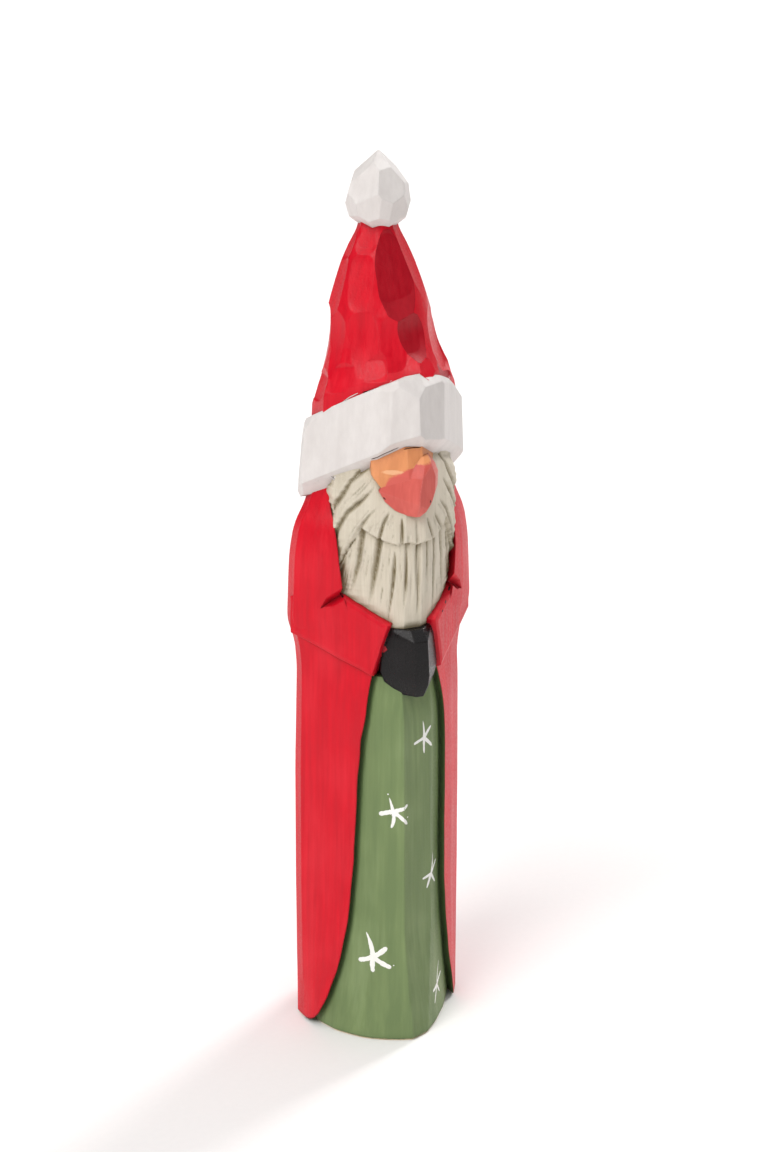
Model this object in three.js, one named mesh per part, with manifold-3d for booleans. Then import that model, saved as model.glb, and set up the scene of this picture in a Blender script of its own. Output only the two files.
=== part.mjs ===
// A slim santa, whittled with flat knife cuts from one square stick of basswood and painted by hand.
// It is one piece of wood: pompom, hat, fur trim, nose, beard, arms, mittens, coat and robe are carved on it
// and only their paint differs. The stick was held on its corner, so one long edge of it became the nose and
// the hem's tip, two became the elbows and the last one the back.
// Millimetres, +Z up, the face towards -Y, the origin on the ground under the middle of the stick.
import * as THREE from "three";
import { ConvexGeometry } from "three/addons/geometries/ConvexGeometry.js";
import { mergeVertices } from "three/addons/utils/BufferGeometryUtils.js";
import Module from "manifold-3d";

const wasm = await Module();
wasm.setup();

// Driving dimensions.
const height = 160; // ground to the tip of the pompom
const stick = 25.4; // side of the square stick
const coatRise = 1.1; // the coat's front stands this far over the robe
const coatCutWidth = 3.2; // the knife cut in the robe that sets the coat's edge off
const coatCutDepth = 0.8;
const sleeveThickness = 3.2; // each forearm's slab, most of it inside the body
const sleeveBevel = 0.9;
const crookWidth = 1.6; // the notch in each arm's crook
const crookDepth = 1.2;
const moustacheRise = 0.8; // the moustache's locks over the beard
const lockCutWidth = 1.3; // V-tool cuts between the locks
const lockCutDepth = 0.7;
const trimBevel = 1.1; // the fur trim's bevelled lower and upper edges
const hatScoopDepth = 0.75; // hollow knife cuts on the hat
const hemBevel = 0.5; // the hem's broken lower edge
const frontFlatDepth = 1.5; // the long flat cut that takes off the robe's front corner

// The carving keeps its proportions: levels are percents of the height, plan sizes percents of the stick's
// corner.
const corner = stick / Math.SQRT2;
const up = (percent) => (height * percent) / 100;
const out = (percent) => (corner * percent) / 100;
const turned = (degrees) => THREE.MathUtils.degToRad(degrees);

const flat = (x, z) => new THREE.Vector2(x, z);
const vector = (x, y, z) => new THREE.Vector3(x, y, z);
const upward = vector(0, 0, 1);
const toFront = vector(0, -1, 0);

// Unevenness of the hand, the same on each run: a number from -1 to 1 for each count.
function waver(count) {
  const spread = 0.618034 * count + 0.37 * Math.sin(2.3 * count);
  return 2 * (spread - Math.floor(spread)) - 1;
}

// A closed solid from a geometry whose faces point out.
function solid(geometry) {
  const bare = new THREE.BufferGeometry().setAttribute("position", geometry.getAttribute("position"));
  if (geometry.index) bare.setIndex(geometry.index);
  const merged = mergeVertices(bare, 1e-4);
  return new wasm.Manifold(
    new wasm.Mesh({
      numProp: 3,
      vertProperties: new Float32Array(merged.attributes.position.array),
      triVerts: new Uint32Array(merged.index.array),
    }),
  );
}

// A closed geometry through rings of points with as many points each. Seen along the way from the first ring
// to the last, every ring turns clockwise.
function loft(rings) {
  const count = rings[0].length;
  const index = [];
  for (let level = 0; level + 1 < rings.length; level++) {
    for (let i = 0; i < count; i++) {
      const a = level * count + i;
      const b = level * count + ((i + 1) % count);
      index.push(a, b, b + count, a, b + count, a + count);
    }
  }
  const last = (rings.length - 1) * count;
  for (let i = 1; i + 1 < count; i++) index.push(0, i + 1, i, last, last + i, last + i + 1);
  const geometry = new THREE.BufferGeometry().setFromPoints(rings.flat());
  return geometry.setIndex(index);
}

// One level of a form: a square set on its corner, with blunted corners and crowned faces. side, front and
// back reach from its middle (x, y) to its corners. swell crowns the left front face more. lean raises the
// front and lowers the back, tip raises the right side and lowers the left. shares tells where a face's
// points lie along it.
function ring(level, shares = [0, 0.33, 0.67, 1]) {
  const { z, x = 0, y = 0, side, front, back } = level;
  const { blunt = 0.08, crown = 0.04, swell = 0, lean = 0, tip = 0 } = level;
  const corners = [vector(side, 0, 0), vector(0, back, 0), vector(-side, 0, 0), vector(0, -front, 0)];
  const facet = blunt * side;
  const points = [];
  corners.forEach((from, face) => {
    const to = corners[(face + 1) % 4];
    const start = from.clone().addScaledVector(to, facet / to.length());
    const end = to.clone().addScaledVector(from, facet / from.length());
    const outward = end.clone().sub(start).cross(upward).normalize();
    const rise = from.distanceTo(to) * (crown + (face === 2 ? swell : 0));
    for (const t of shares) {
      points.push(start.clone().lerp(end, t).addScaledVector(outward, rise * 4 * t * (1 - t)));
    }
  });
  return points.map((p) => {
    const leaning = lean * (p.y + y) * (p.y + y > 0 ? 0.5 : 1);
    return vector(p.x + x, p.y + y, z - leaning + tip * p.x);
  });
}

// A level's real sizes from its percents.
function sized({ z, x = 0, y = 0, side, front, back, crown, swell = 0, lean = 0 }) {
  const plan = { x: out(x), y: out(y), side: out(side), front: out(front), back: out(back) };
  return { z: up(z), ...plan, crown, swell, lean };
}

// The sizes of a form between two of its levels.
function levelAt(levels, z) {
  const above = Math.max(1, levels.findIndex((level) => level.z >= z));
  const [low, high] = [levels[above - 1], levels[above]];
  const t = (z - low.z) / (high.z - low.z);
  const between = {};
  for (const key of Object.keys(low)) between[key] = low[key] + (high[key] - low[key]) * t;
  return between;
}

// Where a level way out from a point of the plan meets a form, with the outward normal there.
function surface(levels, shape, z, from, way) {
  const hit = (level) => {
    const points = shape(levelAt(levels, level));
    for (let i = 0; i < points.length; i++) {
      const a = points[i];
      const b = points[(i + 1) % points.length];
      const edge = b.clone().sub(a);
      const across = way.x * edge.y - way.y * edge.x;
      if (across <= 0) continue;
      const along = (way.x * (from.y - a.y) - way.y * (from.x - a.x)) / across;
      if (along >= 0 && along <= 1) return { point: a.clone().addScaledVector(edge, along), edge };
    }
    throw new Error("no surface at level " + level);
  };
  const step = 0.5;
  const here = hit(z);
  const rise = hit(z + step).point.sub(hit(z - step).point);
  const normal = here.edge.clone().normalize().cross(rise).normalize();
  return { point: here.point, normal };
}

// A V-shaped cut that follows points on a surface. It starts as a fine point and ends as one too, unless it
// runs off the form's edge.
function vCut(stations, width, depth, runsOff = false, lift = 0.6) {
  const outward = vector(0, 0, 0);
  for (const { normal } of stations) outward.add(normal);
  outward.normalize();
  const points = stations.map(({ point }) => point);
  if (runsOff) points.push(points.at(-1).clone().multiplyScalar(2).sub(points.at(-2)));
  const rings = points.map((point, i) => {
    const before = points[Math.max(0, i - 1)];
    const after = points[Math.min(points.length - 1, i + 1)];
    const across = after.clone().sub(before).cross(outward).normalize();
    const fine = i === 0 || (i === points.length - 1 && !runsOff);
    const deep = fine ? 0.1 * depth : depth;
    const half = ((fine ? 0.3 : 1) * width * (deep + lift)) / deep / 2;
    const edge = point.clone().addScaledVector(outward, lift);
    return [
      edge.clone().addScaledVector(across, -Math.min(half, width)),
      edge.clone().addScaledVector(across, Math.min(half, width)),
      point.clone().addScaledVector(outward, -deep),
    ];
  });
  return solid(loft(rings));
}

// A hollow knife cut: the hull of a spoon, length along the wood's grain, sunk by depth into a surface.
function scoop({ point, normal }, width, length, depth) {
  const thick = 5 * depth;
  const spread = Math.sqrt(1 - (1 - depth / thick) ** 2);
  const across = upward.clone().cross(normal).normalize();
  const along = across.clone().cross(normal).normalize();
  const spoon = new THREE.SphereGeometry(1, 14, 9);
  spoon.scale(width / 2 / spread, thick, length / 2 / spread);
  const centre = point.clone().addScaledVector(normal, thick - depth);
  spoon.applyMatrix4(new THREE.Matrix4().makeBasis(across, normal, along).setPosition(centre));
  return solid(spoon);
}

// Takes away what lies outside a plane that faces outward at reach from a point.
function slice(body, centre, outward, reach, size) {
  const waste = new THREE.BoxGeometry(size, size, size).translate(0, 0, size / 2 + reach);
  const turn = new THREE.Quaternion().setFromUnitVectors(upward, outward);
  waste.applyQuaternion(turn).translate(centre.x, centre.y, centre.z);
  return body.subtract(solid(waste));
}

// A prism that stands out to the front over an outline in x and z, from a plane of the plan.
function prismToFront(outline, plane) {
  const settings = { depth: 2 * corner, bevelEnabled: false };
  const prism = new THREE.ExtrudeGeometry(new THREE.Shape(outline), settings);
  return solid(prism.rotateX(Math.PI / 2).translate(0, plane, 0));
}

const cutAll = (body, cutters) => cutters.reduce((rest, cutter) => rest.subtract(cutter), body);

// The body from the hem to the shoulders. Its side corners swell into the elbows and slope to the shoulders.
const bodyLevels = [
  { z: 0, x: -1, side: 85.5, front: 107.5, back: 86, crown: 0.04, swell: 0.12 },
  { z: (100 * hemBevel) / height, x: -1, side: 88, front: 109.5, back: 87.5, crown: 0.04, swell: 0.12 },
  { z: 6, x: -1, side: 88, front: 106, back: 89, crown: 0.03, swell: 0.06 },
  { z: 17, x: -1, side: 88.5, front: 102, back: 90, crown: 0.02, swell: 0.02 },
  { z: 30, x: -1, side: 88, front: 100, back: 90, crown: 0.02 },
  { z: 38.5, x: -0.5, side: 87, front: 98.5, back: 89, crown: 0.02 },
  { z: 43, x: -0.5, side: 86, front: 90, back: 88, crown: 0.01 },
  { z: 46, x: 0.5, side: 89, front: 80, back: 89, crown: 0.02 },
  { z: 48.5, x: 1.5, side: 97.5, front: 78, back: 91, crown: 0.04 },
  { z: 53, x: 1.7, side: 96, front: 79, back: 92, crown: 0.06 },
  { z: 56.5, x: 1.7, side: 94.5, front: 80, back: 92, crown: 0.06 },
  { z: 59.5, x: 2, side: 90, front: 80, back: 90, crown: 0.05 },
  { z: 62, x: 3, side: 79, front: 76, back: 86, crown: 0.04 },
  { z: 65.5, x: 3, side: 70, front: 70, back: 76, crown: 0.04 },
  { z: 70, x: 3, side: 62, front: 60, back: 62, crown: 0.04 },
].map(sized);
const robeTop = up(44.5);
const robeLevels = bodyLevels
  .filter((level) => level.z <= robeTop)
  .map((level) => ({
    ...level,
    side: level.side - coatRise * Math.SQRT2,
    front: level.front - coatRise * Math.SQRT2,
    back: level.back - coatRise * Math.SQRT2,
  }));

// The coat's two front edges, from the hem up, as (x, z): they part like curtains and flare at the hem.
function coatEdge(lower, upper) {
  const path = new THREE.CurvePath();
  for (const line of [lower, upper]) {
    path.add(new THREE.CubicBezierCurve(...line.map(([x, z]) => flat(out(x), up(z)))));
  }
  return path.getPoints(6);
}
const coatEdges = {
  left: coatEdge(
    [[-87, -0.7], [-73, 5], [-56, 12], [-51, 24]],
    [[-51, 24], [-49, 31], [-47, 38], [-30, 45.5]],
  ),
  right: coatEdge(
    [[78, -0.7], [66, 4], [52, 9], [48.5, 17]],
    [[48.5, 17], [46, 28], [62, 38], [28, 45.5]],
  ),
};

// One level of the robe: a long flat cut that faces a little to the figure's left takes off the front corner.
// It runs out towards the hem.
const frontFlatTurn = turned(25);
const frontFlatRunOut = up(16);
const frontFlatShares = Array.from({ length: 10 }, (unused, i) => i / 9);
function robeShape(level) {
  const outward = vector(Math.sin(frontFlatTurn), -Math.cos(frontFlatTurn), 0);
  const deep = frontFlatDepth * Math.min(1, 0.2 + level.z / frontFlatRunOut);
  const reach = outward.dot(vector(level.x, -level.front, 0)) - deep;
  return ring(level, frontFlatShares).map((p) => {
    const over = Math.max(0, outward.dot(p) - reach);
    return p.addScaledVector(outward, -over);
  });
}

function carvedRobe() {
  const inside = { left: 0.3, right: -0.3 }; // the cut's deepest line lies this far inside the coat's edge
  const cuts = Object.entries(coatEdges).map(([side, line]) => {
    const stations = line
      .filter((p) => p.y > up(2.5) && p.y < up(42.5))
      .map((p) => surface(robeLevels, robeShape, p.y, vector(p.x + inside[side], 0, 0), toFront));
    const [low, next] = stations;
    const underGround = -low.point.z / (next.point.z - low.point.z) - 0.2;
    stations.unshift({ point: low.point.clone().lerp(next.point, underGround), normal: low.normal });
    return vCut(stations, coatCutWidth, coatCutDepth, true);
  });
  return cutAll(solid(loft(robeLevels.map(robeShape))), cuts);
}

// The coat leaves the robe open in front and the beard's bed free.
function carvedCoat(beardBed) {
  const opening = prismToFront([...coatEdges.left, ...[...coatEdges.right].reverse()], out(-6));
  return solid(loft(bodyLevels.map((level) => ring(level)))).subtract(opening).subtract(beardBed);
}

// Each forearm is a slab on one of the stick's front faces, from the elbow down to the cuff over the hand.
// Its upper edge leaves the upper arm at the crook.
const elbow = vector(out(-98), out(-3.5), 0);
const cuff = vector(out(-24), out(-78), 0);
const armSpacing = out(3); // the right arm sits this much further out than the left
function carvedForearm(drop) {
  const along = cuff.clone().sub(elbow);
  const reach = along.length();
  along.normalize();
  const profile = new THREE.Shape([
    flat(0, up(47.2)),
    flat(reach * 0.83, up(43.2)),
    flat(reach, up(49.4)),
    flat(reach * 0.53, up(52.3 - drop)),
    flat(reach * 0.2, up(53 - drop)),
    flat(0, up(51.5)),
  ]);
  const slab = new THREE.ExtrudeGeometry(profile, {
    depth: sleeveThickness - 2 * sleeveBevel,
    bevelThickness: sleeveBevel,
    bevelSize: sleeveBevel,
    bevelOffset: -sleeveBevel,
    bevelSegments: 1,
  });
  const outward = along.clone().cross(upward);
  const base = elbow.clone().addScaledVector(outward, sleeveBevel - sleeveThickness);
  slab.applyMatrix4(new THREE.Matrix4().makeBasis(along, upward, outward).setPosition(base));
  return solid(slab);
}

// The crook of each arm: a short deep notch between upper arm and forearm that runs out at the beard's edge.
function crookCut() {
  const normal = vector(-Math.SQRT1_2, -Math.SQRT1_2, 0);
  const line = [[-75, -29, 50.6], [-68, -35, 51.4], [-60, -42, 52.2]];
  const stations = line.map(([x, y, z]) => ({ point: vector(out(x), out(y), up(z)), normal }));
  return vCut(stations, crookWidth, crookDepth, true, crookDepth);
}

// A blunt wedge on the stick's front corner, in levels: side and front are its half width and its reach, root
// is how far forward its sides begin. The front facet runs between two shares of the half width.
function wedge(middle, [tipLeft, tipRight], levels) {
  const points = levels.flatMap(({ z, x = 0, side, front, root }) => [
    vector(middle + x - side, -root, z),
    vector(middle + x + side, -root, z),
    vector(middle + x + tipLeft * side, -front, z),
    vector(middle + x + tipRight * side, -front, z),
    vector(middle + x - 0.8 * side, -0.6 * root, z),
    vector(middle + x + 0.8 * side, -0.6 * root, z),
  ]);
  return solid(new ConvexGeometry(points));
}

const carvedMittens = () =>
  wedge(out(3.2), [-0.26, 0.26], [
    { z: up(49.6), side: out(25), front: out(84), root: out(66) },
    { z: up(48.5), side: out(28), front: out(94), root: out(66) },
    { z: up(43.8), side: out(31), front: out(96.5), root: out(66) },
    { z: up(42.3), side: out(29), front: out(95.5), root: out(67) },
    { z: up(41.3), side: out(17), front: out(92), root: out(77) },
  ]);

// The beard lies on the front corner as a bib: half its width, and its depths at the edges and in the middle.
const beardMiddle = out(2);
const beardLevels = [
  { z: up(47.6), half: out(46), edge: out(36), front: out(74) },
  { z: up(49.5), half: out(54), edge: out(34), front: out(77) },
  { z: up(52.5), half: out(60), edge: out(32), front: out(80) },
  { z: up(56), half: out(63), edge: out(32), front: out(82) },
  { z: up(60), half: out(64), edge: out(31.5), front: out(81) },
  { z: up(65), half: out(63.5), edge: out(31), front: out(77) },
  { z: up(70), half: out(60), edge: out(29), front: out(73) },
];
function bib({ z, half, edge, front, rise = 0 }) {
  const facet = out(9);
  const left = [0, 0.33, 0.67, 1].map((t) => {
    const bulge = out(3.5) * 4 * t * (1 - t) + rise;
    const x = -half - (facet - half) * t - 0.7 * bulge;
    return vector(x, -edge - (front - edge) * t - 0.7 * bulge, z);
  });
  const right = left.map((p) => vector(-p.x, p.y, z)).reverse();
  const back = [vector(half, 0, z), vector(-half, 0, z)];
  return [...back, ...left, ...right].map((p) => p.setX(p.x + beardMiddle));
}
const raisedBib = (level) => bib({ ...level, rise: moustacheRise });

// Lines of the V-tool cuts on the left half, as (x, z): the moustache's locks sweep out from under the hat
// and the nose, the beard's locks hang below them. The last ones of each are short and stand in the middle.
const moustacheCuts = {
  both: [
    [[-37, 66.6], [-47, 64.6], [-55, 62.4], [-60, 60.4]],
    [[-33, 64], [-41, 62.6], [-51, 60.2], [-60, 57.2]],
    [[-24, 61.6], [-29, 60], [-33, 57.6]],
  ],
  middle: [
    [[-13, 61.6], [-14, 59.8], [-15, 57.4]],
    [[-2, 61.4], [-2, 59.6], [-2, 57.2]],
    [[10, 61.6], [10, 59.8], [11, 57.4]],
  ],
};
const beardCuts = {
  both: [
    [[-42, 59.4], [-47, 56.4], [-51, 54], [-55, 52]],
    [[-33, 59], [-38, 55.6], [-42, 52.4], [-45, 50]],
    [[-20, 57.6], [-24, 54.4], [-27, 51.6], [-29, 49.4]],
  ],
  middle: [[[-8, 58], [-9, 54.4], [-11, 50.4], [-13, 48]], [[5, 57], [6, 53.4], [6, 49.4]]],
};

function lockCuts({ both, middle }, shape) {
  const lines = [...both, ...both.map((line) => line.map(([x, z]) => [-x, z])), ...middle];
  return lines.map((line) => {
    const smooth = new THREE.SplineCurve(line.map(([x, z]) => flat(out(x) + beardMiddle, up(z))));
    const stations = smooth
      .getPoints(2 * line.length)
      .map((p) => surface(beardLevels, shape, p.y, vector(p.x, 0, 0), toFront));
    return vCut(stations, lockCutWidth, lockCutDepth, true);
  });
}
const carvedBeard = () => cutAll(solid(loft(beardLevels.map(bib))), lockCuts(beardCuts, bib));
const bedLevels = beardLevels.map((level) => ({ ...level, edge: out(90), front: out(98) }));

// The moustache is a raised layer of the beard. Its lower edge runs from the cheeks to a short drape under
// the nose.
function carvedMoustache() {
  const left = [[-72, 55.4], [-60, 55.9], [-51, 58.4], [-42, 60.3], [-36, 59.7], [-30, 58.6], [-14, 58]];
  const lower = [...left, ...left.map(([x, z]) => [-x, z]).reverse()];
  const around = [...lower, [72, 72], [-72, 72]];
  const outline = around.map(([x, z]) => flat(out(x) + beardMiddle, up(z)));
  const layer = solid(loft(beardLevels.map(raisedBib))).intersect(prismToFront(outline, 0));
  return cutAll(layer, lockCuts(moustacheCuts, raisedBib));
}

const noseMiddle = out(-0.5);
const carvedFace = () =>
  wedge(noseMiddle, [-0.15, 0.35], [
    { z: up(69.5), x: out(-2), side: out(32), front: out(82), root: out(55) },
    { z: up(66.3), x: out(-2), side: out(35), front: out(89), root: out(68) },
    { z: up(63.2), side: out(28), front: out(88), root: out(74) },
  ]);
const carvedNose = () =>
  wedge(noseMiddle, [-0.02, 0.46], [
    { z: up(68.8), x: out(19), side: out(8), front: out(82), root: out(73) },
    { z: up(68), x: out(7), side: out(17), front: out(91.5), root: out(79) },
    { z: up(66.3), x: out(5), side: out(26), front: out(97), root: out(75) },
    { z: up(64.6), x: out(0.5), side: out(33), front: out(98.5), root: out(71) },
    { z: up(63.4), side: out(31), front: out(99), root: out(73) },
    { z: up(62.1), side: out(21), front: out(94), root: out(80) },
    { z: up(61.4), side: out(8), front: out(89), root: out(84) },
  ]);

// The fur trim rings the head. It stands high over the nose and low at the nape, its lower edge more so, and
// a little lower on the left. Its levels are percents of the height, bevels' widths inward and how much they
// lean.
const trimLean = 0.56;
function carvedTrim() {
  const profile = [
    [63.3, 3, 0.61],
    [63.5, 0.8, 0.61],
    [64.8, 0, 0.6],
    [69.4, 0.05, 0.57],
    [70.6, 0.6, trimLean],
    [72.2, 1.9, trimLean],
    [73.2, 7, trimLean],
  ];
  const rings = profile.map(([z, bevels, lean]) => ({
    z: up(z),
    x: out(3.5),
    side: out(88) - bevels * trimBevel,
    front: out(95.5) - bevels * trimBevel,
    back: out(85) - bevels * trimBevel,
    blunt: 0.1,
    crown: 0.05,
    lean,
    tip: 0.09,
  }));
  return solid(loft(rings.map((level) => ring(level))));
}

// The hat: a cone on a rounded square plan, a little bent, hollowed by rows of spoon-shaped cuts.
const hatLevels = [
  { z: 69, x: 5, y: -6, side: 73, front: 72, back: 62, crown: 0.02, lean: trimLean },
  { z: 73, x: 5, y: -5, side: 71, front: 68, back: 60, crown: 0.03, lean: trimLean },
  { z: 76, x: 5, y: -4, side: 63, front: 62, back: 57, crown: 0.05, lean: 0.35 },
  { z: 79, x: 3.5, y: -2, side: 55, front: 56, back: 53, crown: 0.07, lean: 0.15 },
  { z: 82.4, x: 1, side: 51.5, front: 52, back: 50, crown: 0.09 },
  { z: 85, x: 0.7, side: 45, front: 45, back: 44, crown: 0.09 },
  { z: 88, side: 36, front: 37, back: 36, crown: 0.09 },
  { z: 90, side: 29, front: 29, back: 28, crown: 0.09 },
  { z: 91.6, side: 19.5, front: 20, back: 19, crown: 0.09 },
  { z: 94, side: 18, front: 18, back: 18, crown: 0.09 },
].map(sized);
const hatShape = (level) => ring({ ...level, blunt: 0.2 });

// Rows of the hat's hollow cuts: how many go round, where the first one lies and how much the row rises in
// front.
const hatScoops = [
  { z: 86.4, rise: 0, count: 8, first: -101, width: 40, length: 9.5 },
  { z: 78.4, rise: 0.8, count: 9, first: -72, width: 54, length: 7 },
  { z: 75.2, rise: 3.4, count: 10, first: -93, width: 58, length: 4.6 },
];
function carvedHat() {
  const cuts = hatScoops.flatMap(({ z, rise, count, first, width, length }, row) =>
    Array.from({ length: count }, (unused, i) => {
      const uneven = waver(7 * row + i + 1);
      const bearing = turned(first + (360 / count) * (i + 0.12 * uneven));
      const way = vector(Math.cos(bearing), Math.sin(bearing), 0);
      const level = up(z - rise * way.y + 0.4 * uneven);
      const spot = surface(hatLevels, hatShape, level, vector(0, 0, 0), way);
      return scoop(spot, out(width), up(length), hatScoopDepth * (1 + 0.2 * uneven));
    }),
  );
  return cutAll(solid(loft(hatLevels.map(hatShape))), cuts);
}

// The pompom: an egg of flat cuts in four rows. The cuts of the top row meet in its tip.
const pompomMiddle = vector(0, 0, up(94.7));
const pompomRows = [
  { tilt: 46, count: 6, first: 10 },
  { tilt: 17, count: 7, first: 38, reach: out(27.6) },
  { tilt: -15, count: 7, first: 12, reach: out(28.4) },
  { tilt: -52, count: 6, first: 30, reach: out(29.5) },
];
function carvedPompom() {
  const size = out(90);
  const blank = new THREE.BoxGeometry(size, size, up(10)).translate(0, 0, up(96.4));
  let body = solid(blank);
  pompomRows.forEach(({ tilt, count, first, reach }, row) => {
    for (let i = 0; i < count; i++) {
      const uneven = waver(11 * row + i + 3);
      const bearing = turned(first + (360 / count) * (i + 0.15 * uneven));
      const rise = turned(tilt + 4 * uneven);
      const level = Math.cos(rise);
      const way = vector(Math.cos(bearing) * level, Math.sin(bearing) * level, Math.sin(rise));
      const tipAway = (height - pompomMiddle.z) * Math.sin(rise);
      const distance = reach ? reach * (1 + 0.02 * uneven) : tipAway;
      body = slice(body, pompomMiddle, way, distance, 4 * size);
    }
  });
  return body;
}

const paint = (name, color, roughness) =>
  new THREE.MeshStandardMaterial({ name, color, roughness, metalness: 0 });
const paints = {
  red: paint("red", "#c3202f", 0.55),
  green: paint("green", "#5f7d4f", 0.6),
  black: paint("black", "#1b1718", 0.3),
  khaki: paint("khaki", "#cfc7b4", 0.65),
  flesh: paint("flesh", "#e0975f", 0.5),
  coral: paint("coral", "#d5655c", 0.5),
  white: paint("white", "#ded9d6", 0.6),
};

// A left arm's form in its place on the right arm.
const onRightArm = (form) => form.mirror([1, 0, 0]).translate([armSpacing, 0, 0]);
const crookCuts = [crookCut(), onRightArm(crookCut())];

// Carved forms, each with its paint. Where two meet, the one further out shows.
const forms = [
  [carvedRobe(), paints.green],
  [cutAll(carvedCoat(solid(loft(bedLevels.map(bib)))), crookCuts), paints.red],
  [carvedBeard(), paints.khaki],
  [carvedMoustache(), paints.khaki],
  [cutAll(carvedForearm(0), crookCuts), paints.red],
  [cutAll(onRightArm(carvedForearm(0.8)), crookCuts), paints.red],
  [carvedMittens(), paints.black],
  [carvedFace(), paints.flesh],
  [carvedNose(), paints.coral],
  [carvedTrim(), paints.white],
  [carvedHat(), paints.red],
  [carvedPompom(), paints.white],
];

// Joins the forms into the one piece of wood, with a group of triangles for each form's paint.
function joined(parts) {
  const marked = parts.map(([body, colour]) => ({ body: body.asOriginal(), colour }));
  const whole = marked.map(({ body }) => body).reduce((sum, body) => sum.add(body));
  const mesh = whole.getMesh();
  const geometry = new THREE.BufferGeometry();
  geometry.setAttribute("position", new THREE.BufferAttribute(new Float32Array(mesh.vertProperties), 3));
  geometry.setIndex(new THREE.BufferAttribute(new Uint32Array(mesh.triVerts), 1));
  const materials = Object.values(paints);
  mesh.runOriginalID.forEach((id, run) => {
    const { colour } = marked.find(({ body }) => body.originalID() === id);
    const start = mesh.runIndex[run];
    geometry.addGroup(start, mesh.runIndex[run + 1] - start, materials.indexOf(colour));
  });
  geometry.computeVertexNormals();
  return new THREE.Mesh(geometry, materials);
}

const figure = joined(forms);
figure.name = "carved_santa";

const root = new THREE.Group();
root.add(figure);

export default root;
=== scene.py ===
# A slim santa whittled from one square stick of basswood and painted by hand, on a pale studio floor. The
# sections follow the carving from the hem up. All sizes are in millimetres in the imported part's frame, and
# the finished piece is brought to metres at the end. Plain left and right are as seen from the front.
import math
import random

import bmesh
import bpy
import numpy as np
from mathutils import Euler, Matrix, Vector
from mathutils.bvhtree import BVHTree


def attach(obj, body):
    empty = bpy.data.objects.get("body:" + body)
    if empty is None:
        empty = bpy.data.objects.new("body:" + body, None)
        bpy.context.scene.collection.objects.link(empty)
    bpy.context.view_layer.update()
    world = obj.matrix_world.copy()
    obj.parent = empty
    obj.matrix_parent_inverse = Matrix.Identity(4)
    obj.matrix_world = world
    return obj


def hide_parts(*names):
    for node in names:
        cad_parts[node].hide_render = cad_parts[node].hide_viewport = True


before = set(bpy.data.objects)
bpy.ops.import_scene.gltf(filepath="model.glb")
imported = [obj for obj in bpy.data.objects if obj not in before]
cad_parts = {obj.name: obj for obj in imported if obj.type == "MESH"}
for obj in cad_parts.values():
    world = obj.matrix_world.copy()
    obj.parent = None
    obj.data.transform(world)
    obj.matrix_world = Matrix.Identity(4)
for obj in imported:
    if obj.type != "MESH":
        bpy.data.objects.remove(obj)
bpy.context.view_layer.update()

# Robe
# The lowest part of the figure, cut back from the coat that hangs open in front of it. Both are the same
# stick of basswood, held on its corner: one long edge of the stick became the robe's front ridge. Flat knife
# cuts run up the grain, and a V-cut sinks the robe where the coat's edge stands over it.
height = 160.0
stick = 25.4
corner = stick / math.sqrt(2)  # from the stick's middle to its long edges
coat_rise = 1.1
coat_cut_width = 3.2
coat_cut_depth = 0.8
hem_bevel = 0.5
flat_width = 4.6  # one knife cut on robe or coat
flat_length = 26.0
flat_depth = 0.13

# Levels from the hem to the shoulders. In percents, z of the height, then of the stick's corner the shift in
# x and y and the reach of sides, front and back. Last how far the faces are crowned and the left front one
# swells.
body_levels = [
    (0, -1, 0, 85.5, 107.5, 86, 0.04, 0.12),
    (100 * hem_bevel / height, -1, 0, 88, 109.5, 87.5, 0.04, 0.12),
    (6, -1, 0, 88, 106, 89, 0.03, 0.06),
    (17, -1, 0, 88.5, 102, 90, 0.02, 0.02),
    (30, -1, 0, 88, 100, 90, 0.02),
    (38.5, -0.5, 0, 87, 98.5, 89, 0.02),
    (43, -0.5, 0, 86, 90, 88, 0.01),
    (46, 0.5, 0, 89, 80, 89, 0.02),
    (48.5, 1.5, 0, 97.5, 78, 91, 0.04),
    (53, 1.7, 0, 96, 79, 92, 0.06),
    (56.5, 1.7, 0, 94.5, 80, 92, 0.06),
    (59.5, 2, 0, 90, 80, 90, 0.05),
    (62, 3, 0, 79, 76, 86, 0.04),
    (65.5, 3, 0, 70, 70, 76, 0.04),
    (70, 3, 0, 62, 60, 62, 0.04),
]
robe_top = 44.5
left_front, right_front = 2, 3  # of the stick's four faces, counted from the right one at the back


def up(percent):
    return height * percent / 100


def out(percent):
    return corner * percent / 100


def sized(z, x, y, side, front, back, crown, swell=0, lean=0):
    """A level in millimetres from its percents."""
    plan = dict(x=out(x), y=out(y), side=out(side), front=out(front), back=out(back))
    return dict(z=up(z), **plan, crown=crown, swell=swell, lean=lean)


def level_at(levels, z):
    """The sizes of a form between two of its levels."""
    above = next((i for i, level in enumerate(levels) if level["z"] >= z and i), len(levels) - 1)
    low, high = levels[above - 1], levels[above]
    share = (z - low["z"]) / (high["z"] - low["z"])
    return {key: low[key] + (high[key] - low[key]) * share for key in low}


def eased_level(levels, z, reach=1.2):
    """A level with the creases between the named levels rounded off, as a knife leaves them."""
    reach = min(reach, (z - levels[1]["z"]) / 2, levels[-1]["z"] - z)
    if reach <= 0:
        return level_at(levels, z)
    parts = [level_at(levels, z + reach * way) for way in (-1, 0, 1)]
    return {key: sum(part[key] for part in parts) / 3 for key in parts[0]}


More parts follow.
